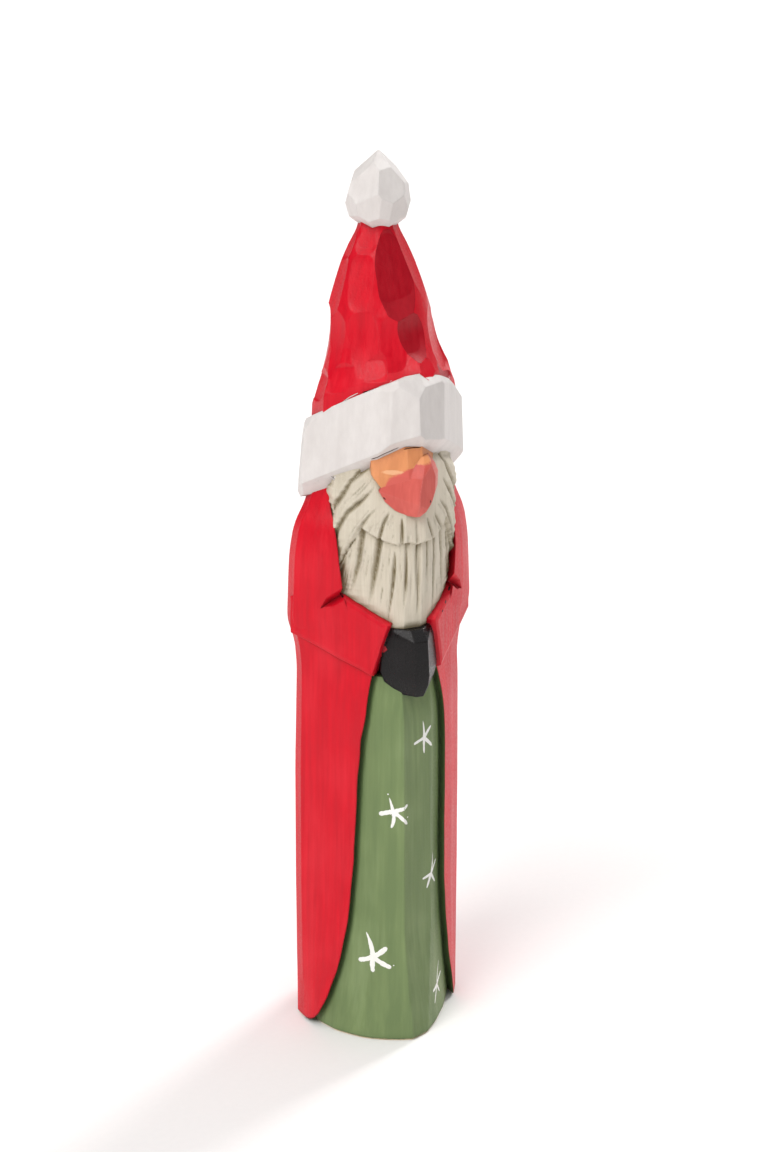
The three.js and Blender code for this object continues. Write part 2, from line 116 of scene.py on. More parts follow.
def ring(level, counts=(4, 4, 4, 4), blunt=0.08):
    """One level of a form: a square set on its corner, with blunted corners and crowned faces.

    Gives the points, each one's way out, its face and how far along the face it lies."""
    reach = [(level["side"], 0), (0, level["back"]), (-level["side"], 0), (0, -level["front"])]
    corners = [np.array(spot, float) for spot in reach]
    facet = blunt * level["side"]
    points, ways, faces, alongs = [], [], [], []
    for face, count in enumerate(counts):
        begin, end = corners[face], corners[(face + 1) % 4]
        start = begin + end * facet / np.linalg.norm(end)
        stop = end + begin * facet / np.linalg.norm(begin)
        width = np.linalg.norm(stop - start)
        way = np.array([stop[1] - start[1], start[0] - stop[0]]) / width
        rise = np.linalg.norm(end - begin) * (level["crown"] + (level["swell"] if face == left_front else 0))
        share = np.linspace(0, 1, count)[:, None]
        points.append(start + (stop - start) * share + way * rise * 4 * share * (1 - share))
        ways.append(np.repeat(way[None], count, 0))
        faces.append(np.full(count, face))
        alongs.append(share[:, 0] * width)
    plan = np.concatenate(points)
    leaning = level["lean"] * (plan[:, 1] + level["y"]) * np.where(plan[:, 1] + level["y"] > 0, 0.5, 1)
    z = level["z"] - leaning + level.get("tip", 0) * plan[:, 0]
    spots = np.column_stack([plan[:, 0] + level["x"], plan[:, 1] + level["y"], z])
    flat_ways = np.column_stack([np.concatenate(ways), np.zeros(len(plan))])
    return spots, flat_ways, np.concatenate(faces), np.concatenate(alongs)


def knife_cuts(hand, across, high, width, length, depth):
    """Long shallow cuts side by side over a face: (along, level, half width, half length, depth) each."""
    cuts = []
    along = 0.0
    while along < across + width:
        level = -hand.uniform(0, length)
        while level < high:
            long = length * hand.uniform(0.6, 1.4)
            spot = along + hand.uniform(-0.25, 0.25) * width
            half = width * hand.uniform(0.52, 0.8)
            cuts.append((spot, level + long / 2, half, 0.62 * long, depth * hand.uniform(0.5, 1.15)))
            level += long
        along += width * hand.uniform(0.8, 1.2)
    return np.array(cuts)


def depth_of(cuts, faces, alongs, levels):
    """How deep each face's own cuts go at each point."""
    depth = np.zeros(len(faces))
    for face, own in cuts.items():
        on_face = faces == face
        across = (alongs[on_face][:, None] - own[:, 0]) / own[:, 2]
        lengthwise = (levels[on_face][:, None] - own[:, 1]) / own[:, 3]
        depth[on_face] = np.max(own[:, 4] * (1 - across**2 - lengthwise**4), axis=1).clip(0)
    return depth


rack = []  # the paints, in the order of the piece's material slots
bench = bpy.data.collections.new("bench")
bpy.context.scene.collection.children.link(bench)
rack_places = 10  # as many as the paints and the bare wood


def on_bench(points, faces, slot):
    """A closed form on the bench, all in one paint."""
    mesh = bpy.data.meshes.new("form")
    mesh.from_pydata([tuple(point) for point in points], [], faces)
    for _ in range(rack_places):
        mesh.materials.append(None)
    mesh.polygons.foreach_set("material_index", [slot] * len(mesh.polygons))
    made = bpy.data.objects.new("form", mesh)
    bench.objects.link(made)
    return made


def loft(rings, slot, foot_slot=None):
    """A closed form through level rings of as many points each, from below to above."""
    rings = list(rings)
    count = len(rings[0])
    points = np.concatenate([*rings, rings[0].mean(0)[None], rings[-1].mean(0)[None]])
    faces = []
    for level in range(len(rings) - 1):
        for i in range(count):
            a, b = level * count + i, level * count + (i + 1) % count
            faces.append((a, b, b + count, a + count))
    last = (len(rings) - 1) * count
    foot, head = len(points) - 2, len(points) - 1
    sides = len(faces)
    faces += [(foot, (i + 1) % count, i) for i in range(count)]
    faces += [(head, last + i, last + (i + 1) % count) for i in range(count)]
    made = on_bench(points, faces, slot)
    if foot_slot is not None:
        for face in made.data.polygons[sides : sides + count]:
            face.material_index = foot_slot
    return made


def joined(form, others, how):
    """Cuts the others away from a form or adds them to it. Each surface keeps its own paint."""
    group = bpy.data.collections.new("others")
    for other in others:
        group.objects.link(other)
    step = form.modifiers.new("step", "BOOLEAN")
    step.operation = how
    step.operand_type = "COLLECTION"
    step.collection = group
    step.solver = "MANIFOLD"
    step.material_mode = "INDEX"
    ready = form.evaluated_get(bpy.context.evaluated_depsgraph_get())
    form.data = bpy.data.meshes.new_from_object(ready)
    form.modifiers.clear()
    for other in others:
        bpy.data.objects.remove(other)
    bpy.data.collections.remove(group)


def from_hex(code):
    """Linear colour from an sRGB hex value."""
    shares = [int(code[i : i + 2], 16) / 255 for i in (1, 3, 5)]
    return [*[c / 12.92 if c < 0.04045 else ((c + 0.055) / 1.055) ** 2.4 for c in shares], 1.0]


def add(tree, kind, inputs=None, take=0, **settings):
    """Adds one node with its settings and links, and gives one of its outputs.

    Inputs go by name or number. A Mix has its share at 0, two values at 2 and 3 and two colours at 6 and 7. A
    MapRange has its value at 0, the range it reads at 1 and 2, and what it gives, else 0 to 1, at 3 and 4."""
    made = tree.nodes.new("ShaderNode" + kind)
    for name, value in settings.items():
        setattr(made, name, value)
    for name, value in (inputs or {}).items():
        if isinstance(value, bpy.types.NodeSocket):
            tree.links.new(value, made.inputs[name])
        else:
            made.inputs[name].default_value = value
    return made.outputs[take] if len(made.outputs) else made


def emptied(owner):
    """The node tree of a material or of the world, without a node."""
    owner.use_nodes = True
    owner.node_tree.nodes.clear()
    return owner.node_tree


def new_paint(name):
    """An empty material at the next place of the rack, and that place."""
    rack.append(bpy.data.materials.new(name))
    return emptied(rack[-1]), len(rack) - 1


def acrylic(name, coat, deep, thin, stroke=(0.5, 14.0), streaks=0.3, gloss=0.44, wear=0.5, cut_shade=0.7,
            marks=()):
    """Craft acrylic brushed thinly on basswood: satin, streaky along the brush, darker and duller in the
    cuts, where shade is painted in over a little pooled paint, thinner and paler on the ridges, with the
    wood's grain and the brush hairs just felt.
    Marks are dabs of another paint: colour, middle, sizes and raggedness of each."""
    tree, place_on_rack = new_paint(name + "_acrylic")
    place = add(tree, "TexCoord", take="Object")

    # Widths and upright lengths of the patterns in millimetres, and how finely each is broken up.
    patterns = [
        (*stroke, 3.0),  # brush hairs
        (1.9, 26.0, 2.0),  # broad strokes
        (7.0, 13.0, 2.0),  # pools
        (0.34, 0.34, 1.0),  # speckle: real brush texture is about 0.1 mm, drawn coarser so that it shows
        (0.28, 9.0, 2.0),  # the wood's grain
    ]
    seen = []
    for width, length, detail in patterns:
        scale = (1000 / width, 1000 / width, 1000 / length)
        noise = {"Vector": add(tree, "Mapping", {"Vector": place, "Scale": scale}), "Scale": 1.0}
        seen.append(add(tree, "TexNoise", {**noise, "Detail": detail, "Roughness": 0.55}))
    hairs, broad, pooled, speckle, grain = seen

    tone = add(tree, "Mix", {0: 0.5, 2: hairs, 3: broad})
    tone = add(tree, "Mix", {0: 0.3, 2: tone, 3: pooled})
    full = add(tree, "MapRange", {0: tone, 1: 0.4, 2: 0.6, 3: 1 - streaks})
    colour = add(tree, "Mix", {0: full, 6: from_hex(deep), 7: from_hex(coat)}, 2, data_type="RGBA")
    washy = add(tree, "Mix", {0: 0.3, 2: pooled, 3: hairs})
    washed = add(tree, "MapRange", {0: washy, 1: 0.5, 2: 0.72, 4: 0.7 * streaks})

    # Ridges are found where a normal rounded over a third of a millimetre leaves the true one, cuts by what
    # shades them.
    rounded = add(tree, "Bevel", {"Radius": 0.00035}, samples=4)
    true_way = add(tree, "NewGeometry", take="Normal")
    alike = add(tree, "VectorMath", {0: rounded, 1: true_way}, "Value", operation="DOT_PRODUCT")
    edge = add(tree, "MapRange", {0: alike, 1: 0.999, 2: 0.93})
    lit = add(tree, "AmbientOcclusion", {"Distance": 0.0016}, "AO", samples=6)
    ridge = add(tree, "MapRange", {0: lit, 1: 0.72, 2: 0.97, 4: wear})
    patchy = add(tree, "MapRange", {0: speckle, 1: 0.4, 2: 0.62, 3: 0.35})
    ridge = add(tree, "Math", {0: edge, 1: ridge}, operation="MULTIPLY")
    ridge = add(tree, "Math", {0: ridge, 1: patchy}, operation="MULTIPLY")
    # Painted shade: cuts and hollows that little light reaches take the deep colour, with some pooled paint.
    shaded = add(tree, "Math", {0: speckle, 1: 0.16, 2: lit}, operation="MULTIPLY_ADD")
    sunk = add(tree, "MapRange", {0: shaded, 1: 1.0, 2: 0.58, 4: cut_shade})
    layers = [(washed, thin), (ridge, thin), (sunk, deep)]  # where each lies over the coat, and its colour

    for shade, centre, size, ragged in marks:
        off = add(tree, "VectorMath", {0: place, 1: [c / 1000 for c in centre]}, operation="SUBTRACT")
        off = add(tree, "VectorMath", {0: off, 1: [1000 / s for s in size]}, operation="MULTIPLY")
        away = add(tree, "VectorMath", {0: off}, "Value", operation="LENGTH")
        away = add(tree, "Math", {0: speckle, 1: ragged, 2: away}, operation="MULTIPLY_ADD")
        rim = ragged / 2
        inside = add(tree, "MapRange", {0: away, 1: 1.06 + rim, 2: 0.9 + rim})
        layers.append((inside, shade))

    # The brush stopped a quarter of a millimetre short of the sawn underside.
    level = add(tree, "SeparateXYZ", {0: place}, 2)
    level = add(tree, "Math", {0: speckle, 1: -0.0003, 2: level}, operation="MULTIPLY_ADD")
    unpainted = add(tree, "MapRange", {0: level, 1: 0.00014, 2: 0.00006, 4: 0.85})
    layers.append((unpainted, "#e6d3ab"))
    for where, shade in layers:
        colour = add(tree, "Mix", {0: where, 6: colour, 7: from_hex(shade)}, 2, data_type="RGBA")

    texture = add(tree, "Mix", {0: 0.4, 2: speckle, 3: hairs})
    rough = add(tree, "MapRange", {0: texture, 1: 0.35, 2: 0.65, 3: gloss - 0.08, 4: gloss + 0.14})
    feel = add(tree, "Mix", {0: 0.5, 2: hairs, 3: grain})
    feel = add(tree, "Mix", {0: 0.35, 2: feel, 3: speckle})
    bumped = add(tree, "Bump", {"Height": feel, "Strength": 0.4, "Distance": 0.00016, "Normal": rounded})
    finish = {"Base Color": colour, "Roughness": rough, "IOR": 1.49, "Specular IOR Level": 0.27}
    skin = add(tree, "BsdfPrincipled", {**finish, "Normal": bumped})
    add(tree, "OutputMaterial", {"Surface": skin})
    return place_on_rack


sage = acrylic("sage_green", "#7e9160", "#556a45", "#93a57c", stroke=(0.9, 20.0), streaks=0.4, wear=0.25)

# The sawn underside is unpainted basswood end grain: pale, dull, with fine pores and faint year rings.
tree, bare_wood = new_paint("bare_basswood")
place = add(tree, "TexCoord", take="Object")
year_ring = 2.4
inputs = {"Vector": place, "Scale": 300 / year_ring, "Distortion": 2.0, "Detail": 2.0}
years = add(tree, "TexWave", inputs, "Fac", wave_type="RINGS", rings_direction="Z")
pores = add(tree, "TexNoise", {"Vector": place, "Scale": 3200.0, "Detail": 2.0})
tone = add(tree, "Mix", {0: 0.5, 2: years, 3: pores})
colour = add(tree, "Mix", {0: tone, 6: from_hex("#cdae80"), 7: from_hex("#ead6b2")}, 2, data_type="RGBA")
rough = add(tree, "MapRange", {0: pores, 1: 0.3, 2: 0.7, 3: 0.62, 4: 0.8})
bumped = add(tree, "Bump", {"Height": pores, "Strength": 0.4, "Distance": 0.0001})
skin = add(tree, "BsdfPrincipled", {"Base Color": colour, "Roughness": rough, "IOR": 1.5, "Normal": bumped})
add(tree, "OutputMaterial", {"Surface": skin})


def bezier(a, b, c, d, count):
    """Points on a curve from a to d, drawn towards b and c."""
    a, b, c, d = (np.array([out(x), up(z)]) for x, z in (a, b, c, d))
    share = np.linspace(0, 1, count)[:, None]
    rest = 1 - share
    return a * rest**3 + 3 * b * rest**2 * share + 3 * c * rest * share**2 + d * share**3


# The coat's two front edges as (x, z), from the hem up: they part like curtains and flare at the hem.
coat_edges = {
    "left": np.concatenate([bezier((-92, -0.7), (-72, 4), (-56, 12), (-51, 24), 26)[:-1],
                            bezier((-51, 24), (-49, 31), (-47, 38), (-30, 45.5), 24)]),
    "right": np.concatenate([bezier((78, -0.7), (66, 4), (52, 9), (48.5, 17), 26)[:-1],
                             bezier((48.5, 17), (46, 28), (62, 38), (28, 45.5), 24)]),
}


def way_off(points, line):
    """Each point's distance from a line of points, and how far along the line it is nearest (0 to 1)."""
    nearest = np.full(len(points), 1e9)
    share = np.zeros(len(points))
    steps = np.linalg.norm(np.diff(line, axis=0), axis=1)
    walked = np.concatenate([[0], np.cumsum(steps)])
    for i, step in enumerate(steps):
        run = line[i + 1] - line[i]
        t = ((points - line[i]) @ run / step**2).clip(0, 1)
        off = np.linalg.norm(points - line[i] - t[:, None] * run, axis=1)
        closer = off < nearest
        nearest[closer] = off[closer]
        share[closer] = (walked[i] + t[closer] * step) / walked[-1]
    return nearest, share


body = [sized(*level) for level in body_levels]
inset = coat_rise * math.sqrt(2)
robe_levels = [{**level, **{key: level[key] - inset for key in ("side", "front", "back")}} for level in body]
robe_levels = [level for level in robe_levels if level["z"] <= up(robe_top)]

# A long flat cut that faces a little to the figure's left takes off the robe's front corner and runs out at
# the hem.
front_flat_turn = math.radians(25)
front_flat_depth = 1.5
front_flat_at_hem = 0.2  # a share of the depth
front_flat_run_out = up(16)

# The V-cut along the coat's edges starts shallow at the hem. By side: how much of its width and depth it has.
coat_cut_at_hem = 0.25
coat_cut_run_in = 6
coat_cut_shares = {"left": (1, 1), "right": (0.85, 0.4)}
seen_slope = np.array([1.2, 1.0])  # points on the sloping faces lie further apart than they seem in x and z


def robe_rings():
    hand = random.Random(11)
    top = robe_levels[-1]["z"]
    across = 24
    cuts = {}
    for face in (left_front, right_front):
        cuts[face] = knife_cuts(hand, across, top, flat_width, flat_length, flat_depth)
    flat_way = np.array([math.sin(front_flat_turn), -math.cos(front_flat_turn), 0])
    for z in [0, hem_bevel, *np.arange(hem_bevel + 0.5, top, 0.75), top]:
        level = eased_level(robe_levels, z)
        spots, ways, faces, alongs = ring(level, counts=(5, 5, 46, 46))
        deep = front_flat_depth * min(1, front_flat_at_hem + z / front_flat_run_out)
        over = (spots @ flat_way - (flat_way @ [level["x"], -level["front"], 0] - deep)).clip(0)
        spots = spots - over[:, None] * flat_way
        depth = depth_of(cuts, faces, alongs, spots[:, 2])
        for side, line in coat_edges.items():
            off, _ = way_off(spots[:, [0, 2]] * seen_slope, line * seen_slope)
            wide_share, deep_share = coat_cut_shares[side]
            sink = coat_cut_depth * deep_share * (1 - off / (coat_cut_width / 2 * wide_share)).clip(0) ** 0.85
            sink *= min(1, coat_cut_at_hem + z / coat_cut_run_in)
            depth = np.where(spots[:, 1] < 0, np.maximum(depth, sink), depth)
        yield spots - ways * depth[:, None]


robe = loft(robe_rings(), sage, bare_wood)

# Coat
# The coat is the stick's outside: it stands over the robe in front and goes all round the back in one, still
# square in plan. Red craft acrylic in one or two brushed coats; the cut edge in front was left in the robe's
# green.
red = acrylic("red", "#dc0522", "#9a0f1e", "#e0404c", stroke=(0.8, 18.0), gloss=0.38, wear=0.15)
wall = out(6)  # the cut behind the coat's edges stops this far in front of the middle
edge_waver = 0.14


def coat_rings():
    hand = random.Random(23)
    top = body[-1]["z"]
    across, wide, long = 26, flat_width * 1.25, flat_length * 1.2
    cuts = {face: knife_cuts(hand, across, top, wide, long, flat_depth) for face in range(4)}
    for z in [0, hem_bevel, *np.arange(hem_bevel + 0.6, top, 0.9), top]:
        spots, ways, faces, alongs = ring(eased_level(body, z), counts=(34, 34, 36, 36))
        yield spots - ways * depth_of(cuts, faces, alongs, spots[:, 2])[:, None]


def prism_to_front(outline, plane, slot):
    """Stands to the front over an outline in x and z, which runs clockwise, from a plane of the plan."""
    count = len(outline)
    points = [(x, y, z) for y in (plane, plane - 2 * corner) for x, z in outline]
    faces = [tuple(range(count)), tuple(range(2 * count - 1, count - 1, -1))]
    faces += [(i + count, (i + 1) % count + count, (i + 1) % count, i) for i in range(count)]
    return on_bench(points, faces, slot)


def hand_cut_edge(line, seed):
    """The line with the small unsteadiness of a knife that was pushed along it."""
    hand = random.Random(seed)
    waver = np.array([hand.uniform(-1, 1) for _ in line])
    waver = np.convolve(waver, [0.3, 0.4, 0.3], "same")
    return line + np.column_stack([edge_waver * waver, np.zeros(len(line))])


coat = loft(coat_rings(), red, bare_wood)
left_edge, right_edge = hand_cut_edge(coat_edges["left"], 3), hand_cut_edge(coat_edges["right"], 4)
opening = prism_to_front(np.concatenate([left_edge, right_edge[::-1]]), -wall, sage)

# Beard
# The beard lies as a bib on the stick's front edge, with the moustache a layer higher on it. V-tool cuts part
# its locks and shallow scratches its hairs. Khaki craft acrylic, darker in the cuts as painted shade with a
# little darker paint rubbed in; the coat is cut away round it.
beard_middle = out(2)
moustache_rise = 0.8
moustache_step = 0.4  # how far above its lower edge it reaches its full height
moustache_top_run = 1.5  # it runs out under the fur trim over this much
moustache_left_end = -12
moustache_left_run = 2.5
beard_levels = [dict(z=up(z), half=out(half), edge=out(edge), front=out(front)) for z, half, edge, front in (
    (47.6, 46, 36, 74), (49.5, 54, 34, 77), (52.5, 60, 32, 80), (56, 63, 32, 82), (60, 64, 31.5, 81),
    (65, 63.5, 31, 77), (70, 60, 29, 73),
)]
khaki = acrylic("khaki", "#dcd3c1", "#857858", "#e6dfd1", stroke=(0.4, 9.0), streaks=0.2, gloss=0.55,
                wear=0.8, cut_shade=0.95)


def bib(level, columns=66):
    """One level of the beard: points and their ways out, round from the right end of its straight back."""
    half, edge, front = level["half"], level["edge"], level["front"]
    facet = out(9)
    share = np.linspace(0, 1, columns)
    bulge = out(3.5) * 4 * share * (1 - share)
    left_x = -half + (half - facet) * share - 0.7 * bulge
    left_y = -edge - (front - edge) * share - 0.7 * bulge
    front_x = np.linspace(-facet, facet, 10)[1:-1]
    x = np.concatenate([[half, -half], left_x, front_x, -left_x[::-1]])
    y = np.concatenate([[0, 0], left_y, np.full(len(front_x), -front), left_y[::-1]])
    turn = np.radians((45 * x / (2.2 * facet)).clip(-45, 45))
    ways = np.column_stack([np.sin(turn), -np.cos(turn), np.zeros(len(x))])
    ways[:2] = 0
    return np.column_stack([x + beard_middle, y, np.full(len(x), level["z"])]), ways


# The moustache's lower edge as (x, z): the long side locks end low, a short drape hangs under the nose.
moustache_edge = np.array([
    (-13, 84.5), (-11.3, 87), (-10.4, 89), (-9, 92.9), (-7.4, 96.2), (-6.4, 95.3), (-5.4, 94.7), (-4.2, 94.1),
    (-2.5, 93.6), (-0.8, 94.2), (0.6, 93.5), (2.2, 94), (3.6, 93.6), (5.2, 94.3), (6.4, 94.9), (8, 96.4),
    (9.7, 93.2), (11.2, 89.4), (12.2, 87), (14, 84),
])

# Each V-cut as its line in x and z, its width and depth, and which of its ends is a fine point. From there it
# swells over a share of its length.
fine_top = 0.3
fine_foot = 0.55
moustache_cuts = [
    ([(-5.6, 109.5), (-6.4, 107.5), (-8.7, 104.3), (-10.9, 99.5), (-11.6, 96)], 1.25, 0.85, ""),
    ([(-5.3, 104), (-7.4, 101.1), (-9.2, 98.9), (-10.6, 95.4), (-11.4, 91.5)], 1.15, 0.8, "top"),
    ([(-4.7, 100.8), (-6.4, 98.6), (-7.9, 95.8), (-9.7, 91.2), (-10.8, 88)], 0.9, 0.55, "top"),
    ([(-3.3, 99.9), (-4.3, 97.6), (-5.1, 94.2)], 0.9, 0.6, "top"),
    ([(-1.8, 98.8), (-1.8, 96.4), (-1.9, 93.4)], 0.8, 0.6, "top"),
    ([(0.6, 98.7), (0.7, 96.4), (0.6, 93)], 0.8, 0.6, "top"),
    ([(2.1, 98.6), (3, 96.2), (4, 93.2)], 0.8, 0.55, "top"),
    ([(3.9, 98.9), (5.4, 96.6), (7.2, 94)], 0.9, 0.6, "top"),
    ([(5.4, 100.8), (7.8, 98.2), (9.8, 94.4), (11.2, 90.4)], 0.95, 0.6, "top"),
    ([(6.6, 104.2), (9.2, 101), (11.3, 97.6), (12.4, 92.4)], 1.15, 0.8, "top"),
    ([(6.9, 109), (8.3, 105.6), (11, 101.2), (13, 96.4)], 1.2, 0.8, ""),
]
beard_cuts = [
    ([(-9.6, 91), (-10.4, 86.5), (-11.2, 81)], 0.8, 0.4, "top"),
    ([(-7.4, 95.6), (-7.9, 90.5), (-8.9, 83.5)], 1.3, 0.8, "foot"),
    ([(-5, 95.2), (-5.7, 89.6), (-6.3, 82.4)], 1.6, 1.0, "foot"),
    ([(-2.9, 93), (-3.2, 87), (-3.7, 79.2)], 1.1, 0.7, "both"),
    ([(-1.1, 94.4), (-1.2, 89), (-1.4, 81.6)], 1.2, 0.8, "foot"),
    ([(1, 94), (1.1, 87.4), (1.3, 80.2)], 1.3, 0.85, "foot"),
    ([(3, 94.4), (3.2, 89), (3.3, 83.6)], 0.9, 0.5, "foot"),
    ([(5.1, 94.8), (5.2, 87), (5.2, 78.6)], 1.2, 0.8, "foot"),
    ([(7, 95.4), (7.7, 88), (8.4, 81.6)], 1.4, 0.9, "foot"),
    ([(9.3, 93), (10.1, 87), (10.9, 80.6)], 1.1, 0.7, "foot"),
    ([(11, 90), (11.6, 86), (12, 82)], 0.8, 0.4, "foot"),
]


def evenly(line, count=12):
    """The line as so many evenly spaced points."""
    line = np.array(line, float)
    walked = np.concatenate([[0], np.cumsum(np.linalg.norm(np.diff(line, axis=0), axis=1))])
    stations = np.linspace(0, walked[-1], count)
    return np.column_stack([np.interp(stations, walked, line[:, i]) for i in (0, 1)])


def scratches(cuts, count, seed):
    """Fine hair lines that run between neighbouring cuts, in the cuts' own form."""
    hand = random.Random(seed)
    lines = [evenly(cut[0]) for cut in cuts]
    for _ in range(count):
        i = hand.randrange(len(lines) - 1)
        share = hand.uniform(0.1, 0.9)
        between = lines[i] + (lines[i + 1] - lines[i]) * share
        begin = hand.randrange(0, 7)
        stop = begin + hand.randrange(4, 9)
        yield between[begin:stop], hand.uniform(0.32, 0.6), hand.uniform(0.07, 0.24), "both"


def depth_of_v_cuts(cuts, plan):
    """How deep the V-cuts go at each point of x and z, with the beard's sloping sides spread out."""
    depth = np.zeros(len(plan))
    slope = np.array([1.3, 1.0])  # across and up the bib's sides
    for line, width, full, fine in cuts:
        line = np.array(line) * slope
        near = np.abs(plan[:, 0] * slope[0] - line[:, 0].mean()) < np.ptp(line[:, 0]) / 2 + width
        off, share = way_off(plan[near] * slope, line)
        swell = np.ones(len(off))
        if fine in ("top", "both"):
            swell = np.minimum(swell, share / fine_top)
        if fine in ("foot", "both"):
            swell = np.minimum(swell, (1 - share) / fine_foot)
        swell = swell.clip(0) ** 0.8
        half = width / 2 * (0.35 + 0.65 * swell)
        depth[near] = np.maximum(depth[near], full * swell * (1 - off / half).clip(0) ** 1.25)
    return depth


fur_rim_level = 101.3
fur_rim_rise = 0.61  # to the front, for each millimetre
fur_rim_tilt = 0.09  # to the figure's left


def fur_rim(x, y):
    """The level of the fur trim's lower edge, under which the moustache runs out."""
    return fur_rim_level - fur_rim_rise * y + fur_rim_tilt * x


def beard_rings():
    hand = random.Random(31)
    all_upper = moustache_cuts + list(scratches(moustache_cuts, 60, 32))
    all_lower = beard_cuts + list(scratches(beard_cuts, 80, 33))
    levels = np.linspace(beard_levels[0]["z"], beard_levels[-1]["z"], 134)
    unsteady = np.convolve([hand.uniform(-1, 1) for _ in levels], [0.25, 0.5, 0.25], "same")
    rows = []
    for z, waver in zip(levels, unsteady):
        level = eased_level(beard_levels, z)
        level["half"] += 0.22 * waver
        rows.append(bib(level))
    spots, ways = (np.concatenate(part) for part in zip(*rows))
    plan = spots[:, [0, 2]]
    over = (plan[:, 1] - np.interp(plan[:, 0], moustache_edge[:, 0], moustache_edge[:, 1])) / moustache_step
    lift = over.clip(0, 1) ** 0.6 * moustache_rise
    lift = lift * ((fur_rim(spots[:, 0], spots[:, 1]) - plan[:, 1]) / moustache_top_run).clip(0, 1)
    lift = lift * ((plan[:, 0] - moustache_left_end) / moustache_left_run).clip(0, 1)
    sink = np.where(over > 0, depth_of_v_cuts(all_upper, plan), depth_of_v_cuts(all_lower, plan))
    moved = spots + ways * (lift - sink)[:, None]
    return moved.reshape(len(levels), -1, 3)


beard = loft(beard_rings(), khaki)
bed_reach = dict(edge=out(90), front=out(98))
bed = loft([bib({**level, **bed_reach}, columns=8)[0] for level in beard_levels], red)
joined(coat, [opening, bed], "DIFFERENCE")

# Arms and mittens
# Each forearm is a slab left standing on one of the stick's front faces, bevelled round its edge and parted
# from the upper arm by a short deep notch. The mittens meet on the front edge in one wedge of flat cuts, in
# glossier black.
sleeve_thickness = 3.2
sleeve_bevel = 0.9
crook_width = 1.6
crook_depth = 1.2
elbow = np.array([out(-98), out(-3.5)])
cuff = np.array([out(-24), out(-78)])
arm_spacing = out(3)
right_side = Matrix.Translation((arm_spacing, 0, 0)) @ Matrix.Scale(-1, 4, (1, 0, 0))
red_dab = ("#a3222b", (-4.1, -11.7, 74.3), (0.9, 0.9, 0.8), 0.5)
black = acrylic("black", "#0d090a", "#080707", "#322d2e", stroke=(0.5, 5.0), streaks=0.4, gloss=0.3,
                wear=0.4, marks=[red_dab])


def mirrored(form):
    """Brings a left arm's form to the right arm."""
    form.data.transform(right_side)
    form.data.flip_normals()
    return form


def forearm(drop, seed):
    """The slab from the elbow down to the cuff, with the wavering outline and broad bevel of knife work."""
    hand = random.Random(seed)
    reach = np.linalg.norm(cuff - elbow)
    along = (cuff - elbow) / reach
    outward = np.array([along[1], -along[0]])  # the way the outline's face looks
    profile = [(0, 47.2), (0.83, 43.2), (1, 49.4), (0.53, 52.3 - drop), (0.2, 53 - drop), (0, 51.5)]
    outline = []
    for (run, level), (next_run, next_level) in zip(profile, profile[1:] + profile[:1]):
        steps = 5 if abs(next_run - run) + abs(next_level - level) > 2 else 2
        for i in range(steps):
            share = i / steps
            waver = 0.1 if 0 < i else 0
            spot = reach * (run + (next_run - run) * share) + hand.uniform(-waver, waver)
            outline.append((spot, up(level + (next_level - level) * share) + hand.uniform(-waver, waver)))
    made = bmesh.new()
    front = []
    for spot, z in outline:
        plan = elbow + along * spot
        front.append(made.verts.new((plan[0], plan[1], z)))
    face = made.faces.new(front)
    made.normal_update()
    rim = list(face.edges)
    back = bmesh.ops.extrude_face_region(made, geom=[face], use_keep_orig=True)
    back_verts = [part for part in back["geom"] if isinstance(part, bmesh.types.BMVert)]
    back_face = next(part for part in back["geom"] if isinstance(part, bmesh.types.BMFace))
    bmesh.ops.translate(made, vec=(*(-outward * sleeve_thickness), 0), verts=back_verts)
    back_face.normal_flip()
    bmesh.ops.bevel(made, geom=rim, offset=sleeve_bevel, segments=2, profile=0.6, affect="EDGES")
    bmesh.ops.recalc_face_normals(made, faces=made.faces)
    return finished(made, red)


def finished(made, slot):
    """Puts a form from a bmesh on the bench."""
    made.verts.index_update()
    points = [tuple(vert.co) for vert in made.verts]
    faces = [[vert.index for vert in face.verts] for face in made.faces]
    made.free()
    return on_bench(points, faces, slot)


def faced_outward(form):
    """Turns all faces of a form outward."""
    made = bmesh.new()
    made.from_mesh(form.data)
    bmesh.ops.recalc_face_normals(made, faces=made.faces)
    made.to_mesh(form.data)
    made.free()
    return form


def crook_notch():
    """The notch between upper arm and forearm: a V-cut that runs out into the beard's edge."""
    outward = np.array([-math.sqrt(0.5), -math.sqrt(0.5), 0])
    course = ((-75, -29, 50.6), (-68, -35, 51.4), (-60, -42, 52.2))
    line = [np.array([out(x), out(y), up(z)]) for x, y, z in course]
    line.append(2 * line[-1] - line[-2])
    rings = []
    for i, point in enumerate(line):
        run = line[min(i + 1, len(line) - 1)] - line[max(i - 1, 0)]
        across = np.cross(run, outward)
        across /= np.linalg.norm(across)
        deep = crook_depth * (0.15 if i == 0 else 1.15)
        half = crook_width * (0.2 if i == 0 else 1.0)
        edge = point + outward * crook_depth
        rings.append(np.array([edge - across * half, edge + across * half, point - outward * deep]))
    return faced_outward(loft(rings, red))


def hull_of(points):
    """The closed form that a knife leaves round a set of points, without hollows."""
    made = bmesh.new()
    for point in points:
        made.verts.new(point)
    closed = bmesh.ops.convex_hull(made, input=made.verts[:])
    inner = [part for part in closed["geom_interior"] if isinstance(part, bmesh.types.BMVert)]
    bmesh.ops.delete(made, geom=inner, context="VERTS")
    bmesh.ops.remove_doubles(made, verts=made.verts[:], dist=0.002)
    bmesh.ops.dissolve_limit(made, angle_limit=math.radians(0.5), verts=made.verts[:], edges=made.edges[:])
    bmesh.ops.recalc_face_normals(made, faces=made.faces)
    return made


